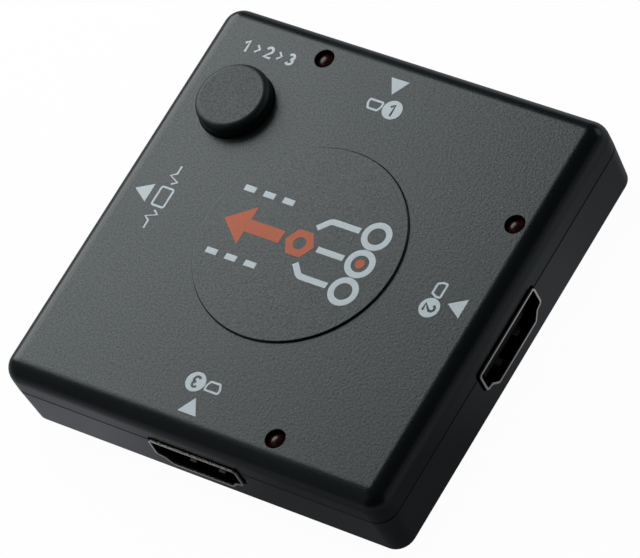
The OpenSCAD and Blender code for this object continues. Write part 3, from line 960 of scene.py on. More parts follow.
@dataclass(frozen=True)
class TintedLens:
    """Cast lens tinted dark red, with painted light that makes it lighter and redder low down."""

    name: str
    deep: Colour
    lit: Colour
    heights: Point = (10.6, 12.2)
    cloud_pitch: float = 0.8
    cloud: float = 0.25
    rough: Point = (0.24, 0.32)

    def build(self, effects: Effects) -> Material:
        """Makes the material, deeper red towards the crown of the dome, with painted light making it a
        lighter red low down.

        Args:
            effects: The shared node groups.

        Returns:
            The material.
        """
        material, nodes, shader = new_material(self.name)
        # painted light: the colour runs from a lighter red low down to the deep red at the crown
        depth = nodes.spread(nodes.axes(nodes.place())["Z"], *(height * MM for height in self.heights))
        speck = effects.put(nodes, effects.grain, {"Grain scale": self.cloud_pitch}).outputs["Speck"]
        cloud = nodes.math("MULTIPLY_ADD", speck, self.cloud)
        nodes.feed(cloud.node.inputs[2], depth)
        looks = {
            "Base Color": nodes.blend(cloud, self.lit, self.deep),
            "Roughness": nodes.ranged(speck, self.rough),
        }
        nodes.fill(shader, looks)
        return material


@dataclass(frozen=True)
class SolderMask:
    """Green lacquer over a circuit board, paler where tracks run under it."""

    name: str
    ground: Colour
    track: Colour
    track_pitch: float = 1.25
    track_share: float = 0.4
    patch_pitch: float = 7.0
    patch_detail: float = 1.0
    patches: Point = (0.47, 0.5)
    rough: Point = (0.25, 0.4)
    track_strength: float = 0.4
    track_depth: float = 0.03

    def build(self, effects: Effects) -> Material:
        """Makes the material with tracks in two directions that patches of noise choose from.

        Args:
            effects: The shared node groups.

        Returns:
            The material.
        """
        material, nodes, shader = new_material(self.name)
        place = nodes.place()
        split = nodes.axes(place)
        patch = nodes.noise(place, 1.0 / (self.patch_pitch * MM), self.patch_detail)
        lines = []
        for axis, test, limit in zip("YX", ("LESS_THAN", "GREATER_THAN"), self.patches):
            wave = nodes.math("FRACT", nodes.math("DIVIDE", split[axis], self.track_pitch * MM))
            track = nodes.math("LESS_THAN", wave, self.track_share)
            lines.append(nodes.math("MULTIPLY", track, nodes.math(test, patch, limit)))
        mask = nodes.math("MAXIMUM", *lines)
        mottle = effects.put(nodes, effects.grain, {}).outputs["Mottle"]
        looks = {
            "Base Color": nodes.blend(mask, self.ground, self.track),
            "Roughness": nodes.ranged(mottle, self.rough),
            "Normal": bump(nodes, mask, self.track_strength, self.track_depth),
        }
        nodes.fill(shader, looks)
        return material


class Finishes:
    """Every material of the box, by what it covers."""

    def __init__(self) -> None:
        """Builds the shared effects and then the materials."""
        effects = Effects()
        self.lid = MouldedPlastic(
            "lid_plastic", rgb(0.004, 0.0062, 0.0068), rgb(0.024, 0.034, 0.0355)
        ).build(effects)
        self.tray = MouldedPlastic(
            "tray_plastic", rgb(0.012, 0.013, 0.0165), rgb(0.036, 0.038, 0.046)
        ).build(effects)
        self.button = MouldedPlastic(
            "button_plastic",
            rgb(0.008, 0.0105, 0.011),
            rgb(0.02, 0.027, 0.028),
            grain_pitch=0.27,
            rough=(0.48, 0.56),
            side_rough=(0.38, 0.46),
            coat=(0.0, 0.72),
            side_coat=0.1,
        ).build(effects)
        self.nylon = MouldedPlastic(
            "black_nylon",
            rgb(0.003, 0.003, 0.003),
            rgb(0.008, 0.008, 0.008),
            grain_pitch=0.35,
            rough=(0.4, 0.55),
            specular=0.2,
            side_coat=0.0,
        ).build(effects)
        self.epoxy = MouldedPlastic(
            "chip_epoxy",
            rgb(0.018, 0.018, 0.02),
            rgb(0.035, 0.035, 0.038),
            grain_pitch=0.12,
            rough=(0.6, 0.75),
        ).build(effects)
        self.ceramic = MouldedPlastic(
            "tan_ceramic",
            rgb(0.33, 0.22, 0.12),
            rgb(0.45, 0.33, 0.2),
            grain_pitch=0.15,
            rough=(0.45, 0.6),
        ).build(effects)
        self.nickel = ShellMetal(
            "nickel_sheet", rgb(0.99, 0.96, 0.9), rgb(0.92, 0.88, 0.81), rough=(0.22, 0.38)
        ).build(effects)
        self.tin = PlatedMetal("tin_plate", rgb(0.72, 0.72, 0.7), rgb(0.55, 0.55, 0.53)).build(effects)
        self.zinc = PlatedMetal(
            "zinc_plate", rgb(0.58, 0.58, 0.6), rgb(0.42, 0.42, 0.43), rough=(0.3, 0.5)
        ).build(effects)
        self.gilt = PlatedMetal("gold_flash", rgb(0.85, 0.62, 0.25), rgb(0.7, 0.48, 0.18)).build(effects)
        self.lens = TintedLens("red_lens", rgb(0.02, 0.002, 0.002), rgb(0.16, 0.006, 0.008)).build(effects)
        self.board = SolderMask("solder_mask", rgb(0.012, 0.1, 0.045), rgb(0.03, 0.2, 0.085)).build(effects)
        self.white = PrintInk("white_ink", rgb(0.68, 0.79, 0.84), rgb(0.52, 0.6, 0.64)).build(effects)
        self.orange = PrintInk("orange_ink", rgb(0.58, 0.13, 0.045), rgb(0.4, 0.09, 0.035)).build(effects)


def painted(made: Object, finish: Material) -> None:
    """Makes a material the only one of a piece."""
    made.data.materials.clear()
    made.data.materials.append(finish)


def dress(
    made: Object,
    finish: Material,
    body: Body,
    stands_for: Sequence[str] = (),
) -> Object:
    """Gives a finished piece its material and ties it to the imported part.

    Args:
        made: Piece whose mesh is final and in place.
        finish: Its material.
        body: Body that it rides on.
        stands_for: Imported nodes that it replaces.

    Returns:
        The same piece.
    """
    painted(made, finish)
    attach(made, body.value)
    if stands_for:
        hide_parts(*stands_for)
    LOG.info("%s: %d faces on %s", made.name, len(made.data.polygons), body.value)
    return made


def box_mm(node: str) -> tuple[Vector, Vector]:
    """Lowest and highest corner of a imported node, in millimetres."""
    low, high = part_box(node)
    return low / MM, high / MM


@dataclass
class SocketShape:
    """Outline and sheet sizes of a video socket that faces +X."""

    mouth_w: float = 14.0
    mouth_h: float = 4.55
    keel_w: float = 9.7
    shoulder_w: float = 11.8
    shoulder_h: float = 1.25
    shoulder_rise: float = 0.25
    mouth_r: float = 0.3
    sheet: float = 0.3
    gap: float = 0.2
    edge_steps: int = 4
    beyond: float = 1.0

    def __post_init__(self) -> None:
        """Reads the places of rim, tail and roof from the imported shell."""
        low, high = box_mm("input_2_shell")
        self.tail = low.x
        self.rim = high.x
        self.mouth_z = high.z - self.sheet - self.mouth_h

    def seat(self, side: Side) -> Matrix:
        """Move from a socket that faces +X to the one on a side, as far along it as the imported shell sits.

        Args:
            side: Side of the case.

        Returns:
            The move.
        """
        low, high = box_mm(f"{side.prefix}_shell")
        along = (side.turn.inverted() @ ((low + high) / 2)).y
        return side.turn @ Matrix.Translation((0.0, along * MM, 0.0))

    def outline(self, growth: float = 0.0) -> list[Point]:
        """Corners of the mouth in Y and Z, moved outwards by a growth.

        Args:
            growth: How far each side moves out.

        Returns:
            The corners, anticlockwise.
        """
        right = [
            (self.keel_w / 2, 0.0),
            (self.shoulder_w / 2, self.shoulder_h),
            (self.mouth_w / 2, self.shoulder_h + self.shoulder_rise),
            (self.mouth_w / 2, self.mouth_h),
        ]
        corners = right + [(-y, z) for y, z in reversed(right)]
        return grown([(y, z + self.mouth_z) for y, z in corners], growth)

    def loop(self, x: float, growth: float) -> Loop:
        """Rounded mouth outline across the X axis, in metres."""
        points = rounded(self.outline(growth), self.mouth_r + self.gap)
        return [Vector((x, y, z)) * MM for y, z in points]

    def window(self, inside: float, outside: float, soft: float, side: Side) -> Mesh:
        """Solid that cuts a socket's window into a cover, with a soft outer edge.

        Args:
            inside: Start of the cut, as a distance from the case's axis.
            outside: Outer face of the wall.
            soft: Radius of the edge.
            side: Side of the case that gets the window.

        Returns:
            The cutting solid.
        """
        clear = self.sheet + self.gap
        flare = arc((outside - soft, clear + soft), soft, -90.0, 0.0, self.edge_steps)
        stations = [(inside, clear), *flare, (outside + self.beyond, clear + soft)]
        mesh = lofted(f"window_{side.prefix}", [self.loop(x, growth) for x, growth in stations])
        mesh.transform(self.seat(side))
        return mesh


@dataclass
class CaseShape:
    """Sizes that both covers share."""

    panel_h: float = 0.3
    wall: float = 2.0
    roof_t: float = 1.5
    floor_t: float = 1.2
    draft: float = 0.33
    inner_r: float = 0.8
    corner_r: float = 2.9
    edge_r: float = 2.8
    lip_t: float = 0.7
    lip_h: float = 1.2
    lip_gap: float = 0.1
    seam_gap: float = 0.12
    seam_soft: float = 0.12
    window_soft: float = 0.12
    post_r: float = 2.5
    screw_r: float = 0.95
    screw_gap: float = 0.15
    thread_gap: float = 0.03
    head_r: float = 1.8
    head_h: float = 0.9
    beyond: float = 1.0
    bar_sides: int = 40
    soft_steps: int = 4

    def __post_init__(self) -> None:
        """Reads the outer sizes and the screws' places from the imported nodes."""
        low, high = box_mm("top_cover")
        self.half = high.x
        self.top = high.z - self.panel_h
        self.deck = low.z
        self.inner = self.half - self.wall
        self.roof = self.top - self.roof_t
        self.parting = box_mm("bottom_cover")[1].z - self.lip_h
        self.seam = self.parting - self.seam_gap
        self.board = box_mm("circuit_board")[0].z
        low, high = box_mm("case_screws")
        self.screw_low = low.z
        self.screw_high = high.z
        self.seat = low.z + self.head_h
        self.screw_xy = high.x - self.head_r

    def screw_places(self) -> list[Point]:
        """Axes of the four screws."""
        return [(x * self.screw_xy, y * self.screw_xy) for x in (-1, 1) for y in (-1, 1)]

    def section(self, half: float, height: float) -> Loop:
        """Level section of the outside, whose corner radius shrinks with its half width."""
        return square_loop(half, self.corner_r - self.half + half, height)

    def bar(self, name: str, radius: float, low: float, high: float, places: Sequence[Point]) -> Mesh:
        """Upright round bars at several places, as one mesh."""
        profile = [(0.0, low), (radius, low), (radius, high), (0.0, high)]
        return joined(name, [revolved(name, profile, place, self.bar_sides) for place in places])

    def hole(self, name: str, radius: float, soft: float, low: float, places: Sequence[Point]) -> Mesh:
        """Solid that cuts round holes with a soft edge into the top face.

        Args:
            name: Name of the mesh.
            radius: Radius of the holes.
            soft: Radius of their edge.
            low: Height where the cut starts.
            places: Axes of the holes.

        Returns:
            The cutting solid.
        """
        edge = arc((radius + soft, self.top - soft), soft, 180.0, 90.0, self.soft_steps)
        above = self.top + self.beyond
        profile = [(0.0, low), (radius, low), *edge, (radius + soft, above), (0.0, above)]
        return joined(name, [revolved(name, profile, place) for place in places])


@dataclass
class Button:
    """Round cap with a flange below the lid and a stem that meets the switch."""

    radius: float = 5.4
    gap: float = 0.15
    flange_w: float = 1.2
    flange_t: float = 0.8
    wall: float = 1.2
    crown: float = 1.5
    stem_r: float = 2.0
    flange_z: float = 10.1
    soft: float = 0.9
    edge_steps: int = 14
    sides: int = 128

    def __post_init__(self) -> None:
        """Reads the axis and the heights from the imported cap."""
        low, high = box_mm("select_button")
        self.place = ((low.x + high.x) / 2, (low.y + high.y) / 2)
        self.low = low.z
        self.top = high.z

    def build(self) -> Object:
        """Turns the cap's section.

        Returns:
            The cap, hollow round its stem.
        """
        bore = self.radius - self.wall
        rim = self.radius + self.gap + self.flange_w
        step = self.flange_z + self.flange_t
        profile = [
            (0.0, self.low),
            (self.stem_r, self.low),
            (self.stem_r, self.top - self.crown),
            (bore, self.top - self.crown),
            (bore, self.flange_z),
            (rim, self.flange_z),
            (rim, step),
            (self.radius, step),
            *arc((self.radius - self.soft, self.top - self.soft), self.soft, 0.0, 90.0, self.edge_steps),
            (0.0, self.top),
        ]
        return shaded(placed("button_cap", revolved("button_cap", profile, self.place, self.sides)))

    def dress(self, finishes: Finishes) -> None:
        """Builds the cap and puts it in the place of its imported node."""
        dress(self.build(), finishes.button, Body.BUTTON, ["select_button"])


@dataclass
class Lamps:
    """Three domed lenses that sit a little below the lid."""

    radius: float = 1.4
    gap: float = 0.05
    rim_w: float = 0.4
    rim_t: float = 1.0
    dome_steps: int = 16

    def places(self) -> dict[Side, Point]:
        """Axis of each lamp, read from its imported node."""
        boxes = {side: box_mm(f"{side.prefix}_lamp") for side in INPUTS}
        return {side: ((a.x + b.x) / 2, (a.y + b.y) / 2) for side, (a, b) in boxes.items()}

    def dress(self, finishes: Finishes) -> None:
        """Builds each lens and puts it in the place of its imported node.

        Args:
            finishes: Materials of the box.
        """
        for side, place in self.places().items():
            node = f"{side.prefix}_lamp"
            low, high = box_mm(node)
            rim = self.radius + self.rim_w
            dome = arc((0.0, high.z - self.radius), self.radius, 0.0, 90.0, self.dome_steps)[:-1]
            shoulder = low.z + self.rim_t
            flange = [(0.0, low.z), (rim, low.z), (rim, shoulder), (self.radius, shoulder)]
            profile = [*flange, *dome, (0.0, high.z)]
            lens = shaded(placed(f"{side.prefix}_lens", revolved("lens", profile, place)))
            dress(lens, finishes.lens, Body.CASE, [node])


@dataclass
class TopCover:
    """Lid with soft upper edges, a raised round panel, posts for the screws, windows and holes."""

    case: CaseShape
    socket: SocketShape
    button: Button
    lamps: Lamps
    panel_r: float = 15.3
    panel_soft: float = 0.24
    edge_steps: int = 14
    soft_steps: int = 4
    panel_sides: int = 192
    bore_top: float = 7.5
    hole_soft: float = 0.04

    def loops(self) -> list[Loop]:
        """Sections from the ceiling, over the rim at the parting line, to the top face.

        Returns:
            The loops in order.
        """
        case = self.case
        recess = case.inner + case.lip_t + case.lip_gap
        ledge = case.parting + case.lip_h + case.lip_gap
        inside = [(case.inner, case.roof), (case.inner, ledge), (recess, ledge), (recess, case.parting)]
        seam_centre = (case.half - case.seam_soft, case.parting + case.seam_soft)
        seam = arc(seam_centre, case.seam_soft, -90.0, 0.0, self.soft_steps)
        edge_centre = (case.half - case.edge_r, case.top - case.edge_r)
        edge = arc(edge_centre, case.edge_r, 0.0, 90.0, self.edge_steps)
        return [square_loop(half, case.inner_r, z) for half, z in inside] + [
            case.section(half, z) for half, z in seam + edge
        ]

    def panel(self) -> Mesh:
        """Raised round panel with a soft rim.

        Returns:
            The panel, which reaches down into the roof.
        """
        case = self.case
        low = case.top - case.roof_t / 2
        high = case.top + case.panel_h
        soft = self.panel_soft
        rim = arc((self.panel_r - soft, high - soft), soft, 0.0, 90.0, self.soft_steps)
        profile = [(0.0, low), (self.panel_r, low), *rim, (0.0, high)]
        return revolved("panel", profile, steps=self.panel_sides)

    def build(self) -> Object:
        """Skins the lid, fuses panel and posts to it, and cuts its openings.

        Returns:
            The finished lid.
        """
        case = self.case
        lid = Carving("lid", lofted("lid", self.loops()))
        lid.add(self.panel())
        lid.add(case.bar("posts", case.post_r, case.deck, case.roof + case.roof_t / 2, case.screw_places()))
        for side in Side:
            lid.cut(self.socket.window(case.inner - case.beyond, case.half, case.window_soft, side))
        bore = case.screw_r + case.thread_gap
        lid.cut(case.bar("bores", bore, case.deck - case.beyond, self.bore_top, case.screw_places()))
        under = case.roof - case.beyond
        lamp_hole = self.lamps.radius + self.lamps.gap
        lamp_places = list(self.lamps.places().values())
        lid.cut(case.hole("lamp_holes", lamp_hole, self.hole_soft, under, lamp_places))
        button_hole = self.button.radius + self.button.gap
        lid.cut(case.hole("button_hole", button_hole, self.hole_soft, under, [self.button.place]))
        return lid.done()

    def dress(self, finishes: Finishes) -> None:
        """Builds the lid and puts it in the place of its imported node."""
        dress(self.build(), finishes.lid, Body.CASE, ["top_cover"])


@dataclass
class BottomCover:
    """Tray with drafted walls, a lip that the lid slips over, bosses, windows and screw recesses."""

    case: CaseShape
    socket: SocketShape
    base_soft: float = 0.15
    soft_steps: int = 4

    def loops(self) -> list[Loop]:
        """Sections from the base, up the outside, over the lip and down to the floor.

        Returns:
            The loops in order.
        """
        case = self.case
        soft = self.base_soft
        foot = case.half - case.draft
        lip = case.inner + case.lip_t
        lip_top = case.parting + case.lip_h
        base = arc((foot - soft, soft), soft, -90.0, 0.0, self.soft_steps)
        seam_centre = (case.half - case.seam_soft, case.seam - case.seam_soft)
        seam = arc(seam_centre, case.seam_soft, 0.0, 90.0, self.soft_steps)
        inside = [(lip, case.seam), (lip, lip_top), (case.inner, lip_top), (case.inner, case.floor_t)]
        return [case.section(half, z) for half, z in base + seam] + [
            square_loop(half, case.inner_r, z) for half, z in inside
        ]

    def recesses(self) -> Mesh:
        """Solid that cuts the screw heads' recesses, with a soft edge at the base.

        Returns:
            The cutting solid.
        """
        case = self.case
        soft = self.base_soft
        radius = case.head_r + case.screw_gap
        edge = arc((radius + soft, soft), soft, 270.0, 180.0, self.soft_steps)
        below = [(0.0, -case.beyond), (radius + soft, -case.beyond)]
        profile = [*below, *edge, (radius, case.seat), (0.0, case.seat)]
        return joined("recesses", [revolved("recess", profile, place) for place in case.screw_places()])

    def build(self) -> Object:
        """Skins the tray, fuses its bosses to it, and cuts its openings.

        Returns:
            The finished tray.
        """
        case = self.case
        places = case.screw_places()
        tray = Carving("tray", lofted("tray", self.loops()))
        tray.add(case.bar("bosses", case.post_r, case.floor_t / 2, case.board, places))
        for side in Side:
            tray.cut(self.socket.window(case.inner - case.beyond, case.half, case.window_soft, side))
        shaft = case.screw_r + case.screw_gap
        tray.cut(case.bar("shafts", shaft, -case.beyond, case.board + case.beyond, places))
        tray.cut(self.recesses())
        return tray.done()

    def dress(self, finishes: Finishes) -> None:
        """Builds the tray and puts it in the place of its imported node."""
        dress(self.build(), finishes.tray, Body.CASE, ["bottom_cover"])


@dataclass
class Screws:
    """Four pan-head screws driven from below."""

    case: CaseShape
    scatter: GeometryTree
    head_soft: float = 0.35
    head_steps: int = 6
    slot_w: float = 0.5
    slot_l: float = 2.2
    slot_depth: float = 0.5
    seed: int = 7

    def single(self) -> Object:
        """One screw on the case's axis.

        Returns:
            The screw with its cross slot.
        """
        case = self.case
        crown_centre = (case.head_r - self.head_soft, case.screw_low + self.head_soft)
        crown = arc(crown_centre, self.head_soft, 270.0, 360.0, self.head_steps)
        profile = [
            (0.0, case.screw_low),
            *crown,
            (case.head_r, case.seat),
            (case.screw_r, case.seat),
            (case.screw_r, case.screw_high - case.screw_r),
            (case.screw_r / 2, case.screw_high),
            (0.0, case.screw_high),
        ]
        screw = Carving("screw", revolved("screw", profile))
        low = case.screw_low - case.beyond
        high = case.screw_low + self.slot_depth
        for x, y in ((self.slot_l / 2, self.slot_w / 2), (self.slot_w / 2, self.slot_l / 2)):
            screw.cut(boxed("slot", (-x, -y, low), (x, y, high)))
        return screw.done()

    def dress(self, finishes: Finishes) -> None:
        """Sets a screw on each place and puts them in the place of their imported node.

        Args:
            finishes: Materials of the box.
        """
        single = self.single()
        points = bpy.data.meshes.new("screw_places")
        points.from_pydata([Vector((*place, 0.0)) * MM for place in self.case.screw_places()], [], [])
        values = {"Copy": single, "Turn": QUARTER, "Seed": self.seed, "Material": finishes.zinc}
        screws = shaded(placed("screws", self.scatter.run("screws", points, values)))
        bpy.data.objects.remove(single)
        dress(screws, finishes.zinc, Body.CASE, ["case_screws"])


@dataclass
class SocketShells:
    """Four sheet-metal shells, each folded to the mouth's outline, with legs and two spring fingers."""

    shape: SocketShape
    strips: GeometryTree
    edge_soft: float = 0.04
    finger_soft: float = 0.06
    finger_bend: float = 0.7
    finger_w: float = 1.1
    finger_pitch: float = 4.8
    finger_l: float = 5.0
    finger_set: float = 1.2
    finger_rise: float = 0.5
    finger_gap: float = 0.3
    finger_root: float = 0.4
    leg_w: float = 1.0
    leg_slack: float = 0.03
    legs: tuple[float, float] = (5.0, 10.0)

    def tube(self, finish: Material) -> Mesh:
        """Sheet swept round the mouth's outline.

        Args:
            finish: Material that the sheet carries.

        Returns:
            The folded tube.
        """
        shape = self.shape
        middle = (shape.rim + shape.tail) / 2
        corners = [(middle, y, z) for y, z in shape.outline(shape.sheet / 2)]
        values = {
            "Width": (shape.rim - shape.tail) * MM,
            "Thickness": shape.sheet * MM,
            "Edge radius": self.edge_soft * MM,
            "Bend radius": (shape.mouth_r + shape.sheet / 2) * MM,
            "Material": finish,
        }
        return self.strips.run("shell_tube", path_mesh("shell_fold", corners, closed=True), values)

    def fingers(self, finish: Material) -> list[Mesh]:
        """Two strips that spring up from the floor, towards the rim.

        Args:
            finish: Material that the sheet carries.

        Returns:
            The strips.
        """
        shape = self.shape
        level = shape.mouth_z - shape.sheet / 2
        tip = shape.rim - self.finger_set
        root = tip - self.finger_l
        values = {
            "Width": self.finger_w * MM,
            "Thickness": shape.sheet * MM,
            "Edge radius": self.finger_soft * MM,
            "Bend radius": self.finger_bend * MM,
            "Material": finish,
        }
        made = []
        for y in (-self.finger_pitch / 2, self.finger_pitch / 2):
            path = [
                (root - self.finger_root, y, level),
                (root, y, level),
                (tip - self.finger_l / 4, y, level + self.finger_rise),
                (tip, y, level + self.finger_rise - shape.sheet),
            ]
            made.append(self.strips.run("finger", path_mesh("finger_path", path), values))
        return made

    def slots(self) -> Mesh:
        """Solid that cuts the floor open round the fingers.

        Returns:
            The cutting solid.
        """
        shape = self.shape
        tip = shape.rim - self.finger_set
        wide = self.finger_w / 2 + self.finger_gap
        made = []
        for y in (-self.finger_pitch / 2, self.finger_pitch / 2):
            low = (tip - self.finger_l, y - wide, shape.mouth_z - 2 * shape.sheet)
            high = (tip + self.finger_gap, y + wide, shape.mouth_z + shape.sheet)
            made.append(boxed("finger_slot", low, high))
        return joined("finger_slots", made)

    def feet(self) -> Mesh:
        """Four legs that go down through the board.

        Returns:
            The legs, which reach into the sheet.
        """
        shape = self.shape
        low = box_mm("input_2_shell")[0].z
        slack = (self.leg_slack, shape.sheet - self.leg_slack)
        made = []
        for back in self.legs:
            x = shape.rim - back
            for side in (-1, 1):
                faces = sorted(side * (shape.mouth_w / 2 + depth) for depth in slack)
                start = (x - self.leg_w / 2, faces[0], low)
                end = (x + self.leg_w / 2, faces[1], shape.mouth_z + shape.mouth_h / 2)
                made.append(boxed("leg", start, end))
        return joined("legs", made)

    def build(self, finish: Material) -> Object:
        """Shell that faces +X.

        Args:
            finish: Material that the sheet carries.

        Returns:
            The shell.
        """
        shell = Carving("shell", self.tube(finish))
        shell.cut(self.slots())
        shell.add(self.feet())
        shell.add(joined("fingers", self.fingers(finish)))
        return shell.done()

    def dress(self, finishes: Finishes) -> None:
        """Builds one shell and puts a turned copy in the place of each packed one.

        Args:
            finishes: Materials of the box.
        """
        single = self.build(finishes.nickel)
        for side in Side:
            mesh = single.data.copy()
            mesh.transform(self.shape.seat(side))
            copy = placed(f"{side.prefix}_sheet", mesh)
            dress(copy, finishes.nickel, Body.CASE, [f"{side.prefix}_shell"])
        bpy.data.objects.remove(single)


DIGITS: dict[str, list[list[Point]]] = {
    "1": [[(-0.24, 0.18), (0.06, 0.4), (0.06, -0.5)]],
    "2": [[*arc((0.0, 0.17), 0.24, 170.0, -35.0, 10), (-0.25, -0.4), (0.32, -0.4)]],
    "3": [
        arc((-0.03, 0.19), 0.21, 150.0, -90.0, 10),
        arc((-0.03, -0.17), 0.24, 90.0, -150.0, 10),
    ],
}
PLUG: list[Point] = [(-0.75, -0.7), (0.75, -0.7), (1.1, 0.0), (1.1, 0.7), (-1.1, 0.7), (-1.1, 0.0)]
SCREEN: list[Point] = [(-1.5, -1.0), (1.5, -1.0), (1.5, 1.0), (-1.5, 1.0)]
PULSE: list[Point] = [(-5.2, 0.0), (-3.9, 0.0), (-3.4, 0.8), (-2.7, -0.8), (-2.2, 0.0)]
CHEVRON: list[Point] = [(-0.3, -0.6), (0.3, 0.0), (-0.3, 0.6)]


@dataclass
class InputMark:
    """Place of the mark beside an input, with the wall on the far side of +Y."""

    side: Side
    number: str
    apex: Point


@dataclass
class Markings:
    """Printed marks: arrows, numbers and small signs on the lid, and a diagram on the panel."""

    case: CaseShape
    strips: GeometryTree
    films: GeometryTree
    film: float = 0.03
    arrow_half: float = 1.5
    arrow_h: float = 2.5
    badge_r: float = 1.5
    badge_at: Point = (1.38, -2.14)
    badge_digit: float = 1.95
    order_digit: float = 2.0
    digit_stroke: float = 0.2
    cut_layers: float = 8.0
    plug_at: Point = (-1.5, -2.2)
    stroke: float = 0.32
    inputs: tuple[InputMark, ...] = (
        InputMark(Side.INPUT_1, "1", (-0.21, 25.03)),
        InputMark(Side.INPUT_2, "2", (1.14, 24.63)),
        InputMark(Side.INPUT_3, "3", (1.22, 25.59)),
    )
    output_apex: Point = (0.0, 27.76)
    output_row: float = 23.1
    order_at: Point = (-21.0, 25.4)
    order_step: float = 3.7
    ring_x: float = 9.9
    ring_step: float = 4.5
    ring_r: float = 2.2
    ring_bore: float = 1.3
    dot_r: float = 0.7
    hub_r: float = 2.3
    hub_bore: float = 0.95
    bar_w: float = 2.0
    bar: Point = (-8.6, -2.9)
    head_x: float = -12.5
    head_half: float = 3.1
    line_w: float = 0.9
    line_gap: float = 0.5
    line_bend: float = 1.2
    hub_gap: float = 0.6
    hub_sides: int = 6
    turn_x: float = 2.6
    join_x: float = 1.1
    dash_x: Triple = (-11.4, -8.2, -5.0)
    dash_y: float = 5.2
    dash_half: float = 0.9
    plug_bend: float = 0.2
    screen_bend: float = 0.3

    def filled(self, loops: Sequence[Sequence[Point]]) -> Mesh:
        """Film of ink inside closed outlines.

        Args:
            loops: Outlines in millimetres. One inside another is left bare.

        Returns:
            The film on z = 0.
        """
        vertices: list[Vector] = []
        edges: list[tuple[int, int]] = []
        for loop in loops:
            start = len(vertices)
            vertices += [Vector((*p, 0.0)) * MM for p in loop]
            edges += [(start + i, start + (i + 1) % len(loop)) for i in range(len(loop))]
        mesh = bpy.data.meshes.new("outlines")
        mesh.from_pydata(vertices, edges, [])
        return self.films.run("film", mesh, {"Film": self.film * MM})

    def line(
        self,
        points: Sequence[Point],
        width: float,
        bend: float = 0.0,
        closed: bool = False,
        layers: float = 1.0,
    ) -> Mesh:
        """Film of ink along a path on z = 0.

        Args:
            points: Path in millimetres.
            width: Width of the line.
            bend: Radius of its bends.
            closed: Whether the path ends where it starts.
            layers: Thickness as a number of films, more than one for a line that cuts another film.

        Returns:
            The line.
        """
        path = path_mesh("line_path", [(*p, self.film / 2) for p in points], closed)
        values = {"Width": width * MM, "Thickness": layers * self.film * MM, "Bend radius": bend * MM}
        return self.strips.run("line", path, values)

    def digit(self, number: str, height: float, layers: float) -> list[Mesh]:
        """Strokes of a digit, centred on the axis."""
        paths = [[(x * height, y * height) for x, y in stroke] for stroke in DIGITS[number]]
        return [self.line(path, self.digit_stroke * height, layers=layers) for path in paths]

    def badge(self, number: str) -> Mesh:
        """Disc of ink with a digit left bare.

        Args:
            number: The digit.

        Returns:
            The disc.
        """
        disc = Carving("badge", self.filled([circle((0.0, 0.0), self.badge_r)]))
        for stroke in self.digit(number, self.badge_digit, self.cut_layers):
            disc.cut(stroke)
        return disc.taken()

    def figure(self, number: str) -> Mesh:
        """Digit printed in ink.

        Args:
            number: The digit.

        Returns:
            Its strokes, fused.
        """
        strokes = self.digit(number, self.order_digit, 1.0)
        print_ = Carving("figure", strokes[0])
        for stroke in strokes[1:]:
            print_.add(stroke)
        return print_.taken()

    def moved(self, mesh: Mesh, place: Point, turn: float = 0.0) -> Mesh:
        """Shifts a film in its mark, then turns the mark about the case's axis.

        Args:
            mesh: The film.
            place: Shift in millimetres.
            turn: Turn in degrees.

        Returns:
            The same film.
        """
        shift = Matrix.Translation(Vector((*place, 0.0)) * MM)
        mesh.transform(Matrix.Rotation(math.radians(turn), 4, "Z") @ shift)
        return mesh

    def arrow(self, tip: Point, back: float) -> Mesh:
        """Solid triangle with its tip at a place and its base at a signed distance along +Y."""
        x, y = tip
        return self.filled([[(x, y), (x + self.arrow_half, y + back), (x - self.arrow_half, y + back)]])

    def input_marks(self) -> list[Mesh]:
        """Arrow, numbered badge and small socket sign beside each input.

        Returns:
            The films of ink.
        """
        made = []
        for mark in self.inputs:
            turn = mark.side.degrees - Side.INPUT_1.degrees
            x, y = mark.apex
            made.append(self.moved(self.arrow(mark.apex, self.arrow_h), (0.0, 0.0), turn))
            badge_place = (x + self.badge_at[0], y + self.badge_at[1])
            made.append(self.moved(self.badge(mark.number), badge_place, turn))
            sign = self.line(PLUG, self.stroke, self.plug_bend, closed=True)
            made.append(self.moved(sign, (x + self.plug_at[0], y + self.plug_at[1]), turn))
        return made

    def output_marks(self) -> list[Mesh]:
        """Arrow that points out of the box, and a screen with a signal line.

        Returns:
            The films of ink.
        """
        turn = Side.OUTPUT.degrees - Side.INPUT_1.degrees
        row = (0.0, self.output_row)
        screen = self.line(SCREEN, self.stroke, self.screen_bend, closed=True)
        made = [self.arrow(self.output_apex, -self.arrow_h), self.moved(screen, row)]
        for flip in (-1.0, 1.0):
            pulse = [(x * flip, y) for x, y in PULSE]
            made.append(self.moved(self.line(pulse, self.stroke), row))
        return [self.moved(mesh, (0.0, 0.0), turn) for mesh in made]

    def order_marks(self) -> list[Mesh]:
        """Digits and chevrons beside the button, in the order that it steps through.

        Returns:
            The films of ink.
        """
        x, y = self.order_at
        made = []
        for k, mark in enumerate(self.inputs):
            place = (x + (k - 1) * self.order_step, y)
            made.append(self.moved(self.figure(mark.number), place))
        for k in (-0.5, 0.5):
            made.append(self.moved(self.line(CHEVRON, self.stroke), (x + k * self.order_step, y)))
        return made

    def diagram_white(self) -> list[Mesh]:
        """Three rings for the inputs, the lines that lead from them, and rows of dashes.

        Returns:
            The films of ink.
        """
        made = []
        for k in (-1, 0, 1):
            centre = (self.ring_x, k * self.ring_step)
            made.append(self.filled([circle(centre, self.ring_r), circle(centre, self.ring_bore)]))
        start = self.ring_x - self.ring_r - self.line_gap
        end = self.hub_r + self.hub_gap
        made.append(self.line([(start, 0.0), (end, 0.0)], self.line_w))
        for k in (-1, 1):
            y = k * self.ring_step
            path = [(start, y), (self.turn_x, y), (self.join_x, k * end)]
            made.append(self.line(path, self.line_w, self.line_bend))
            for x in self.dash_x:
                ends = (x - self.dash_half, x + self.dash_half)
                made.append(self.line([(end_x, k * self.dash_y) for end_x in ends], self.line_w))
        return made

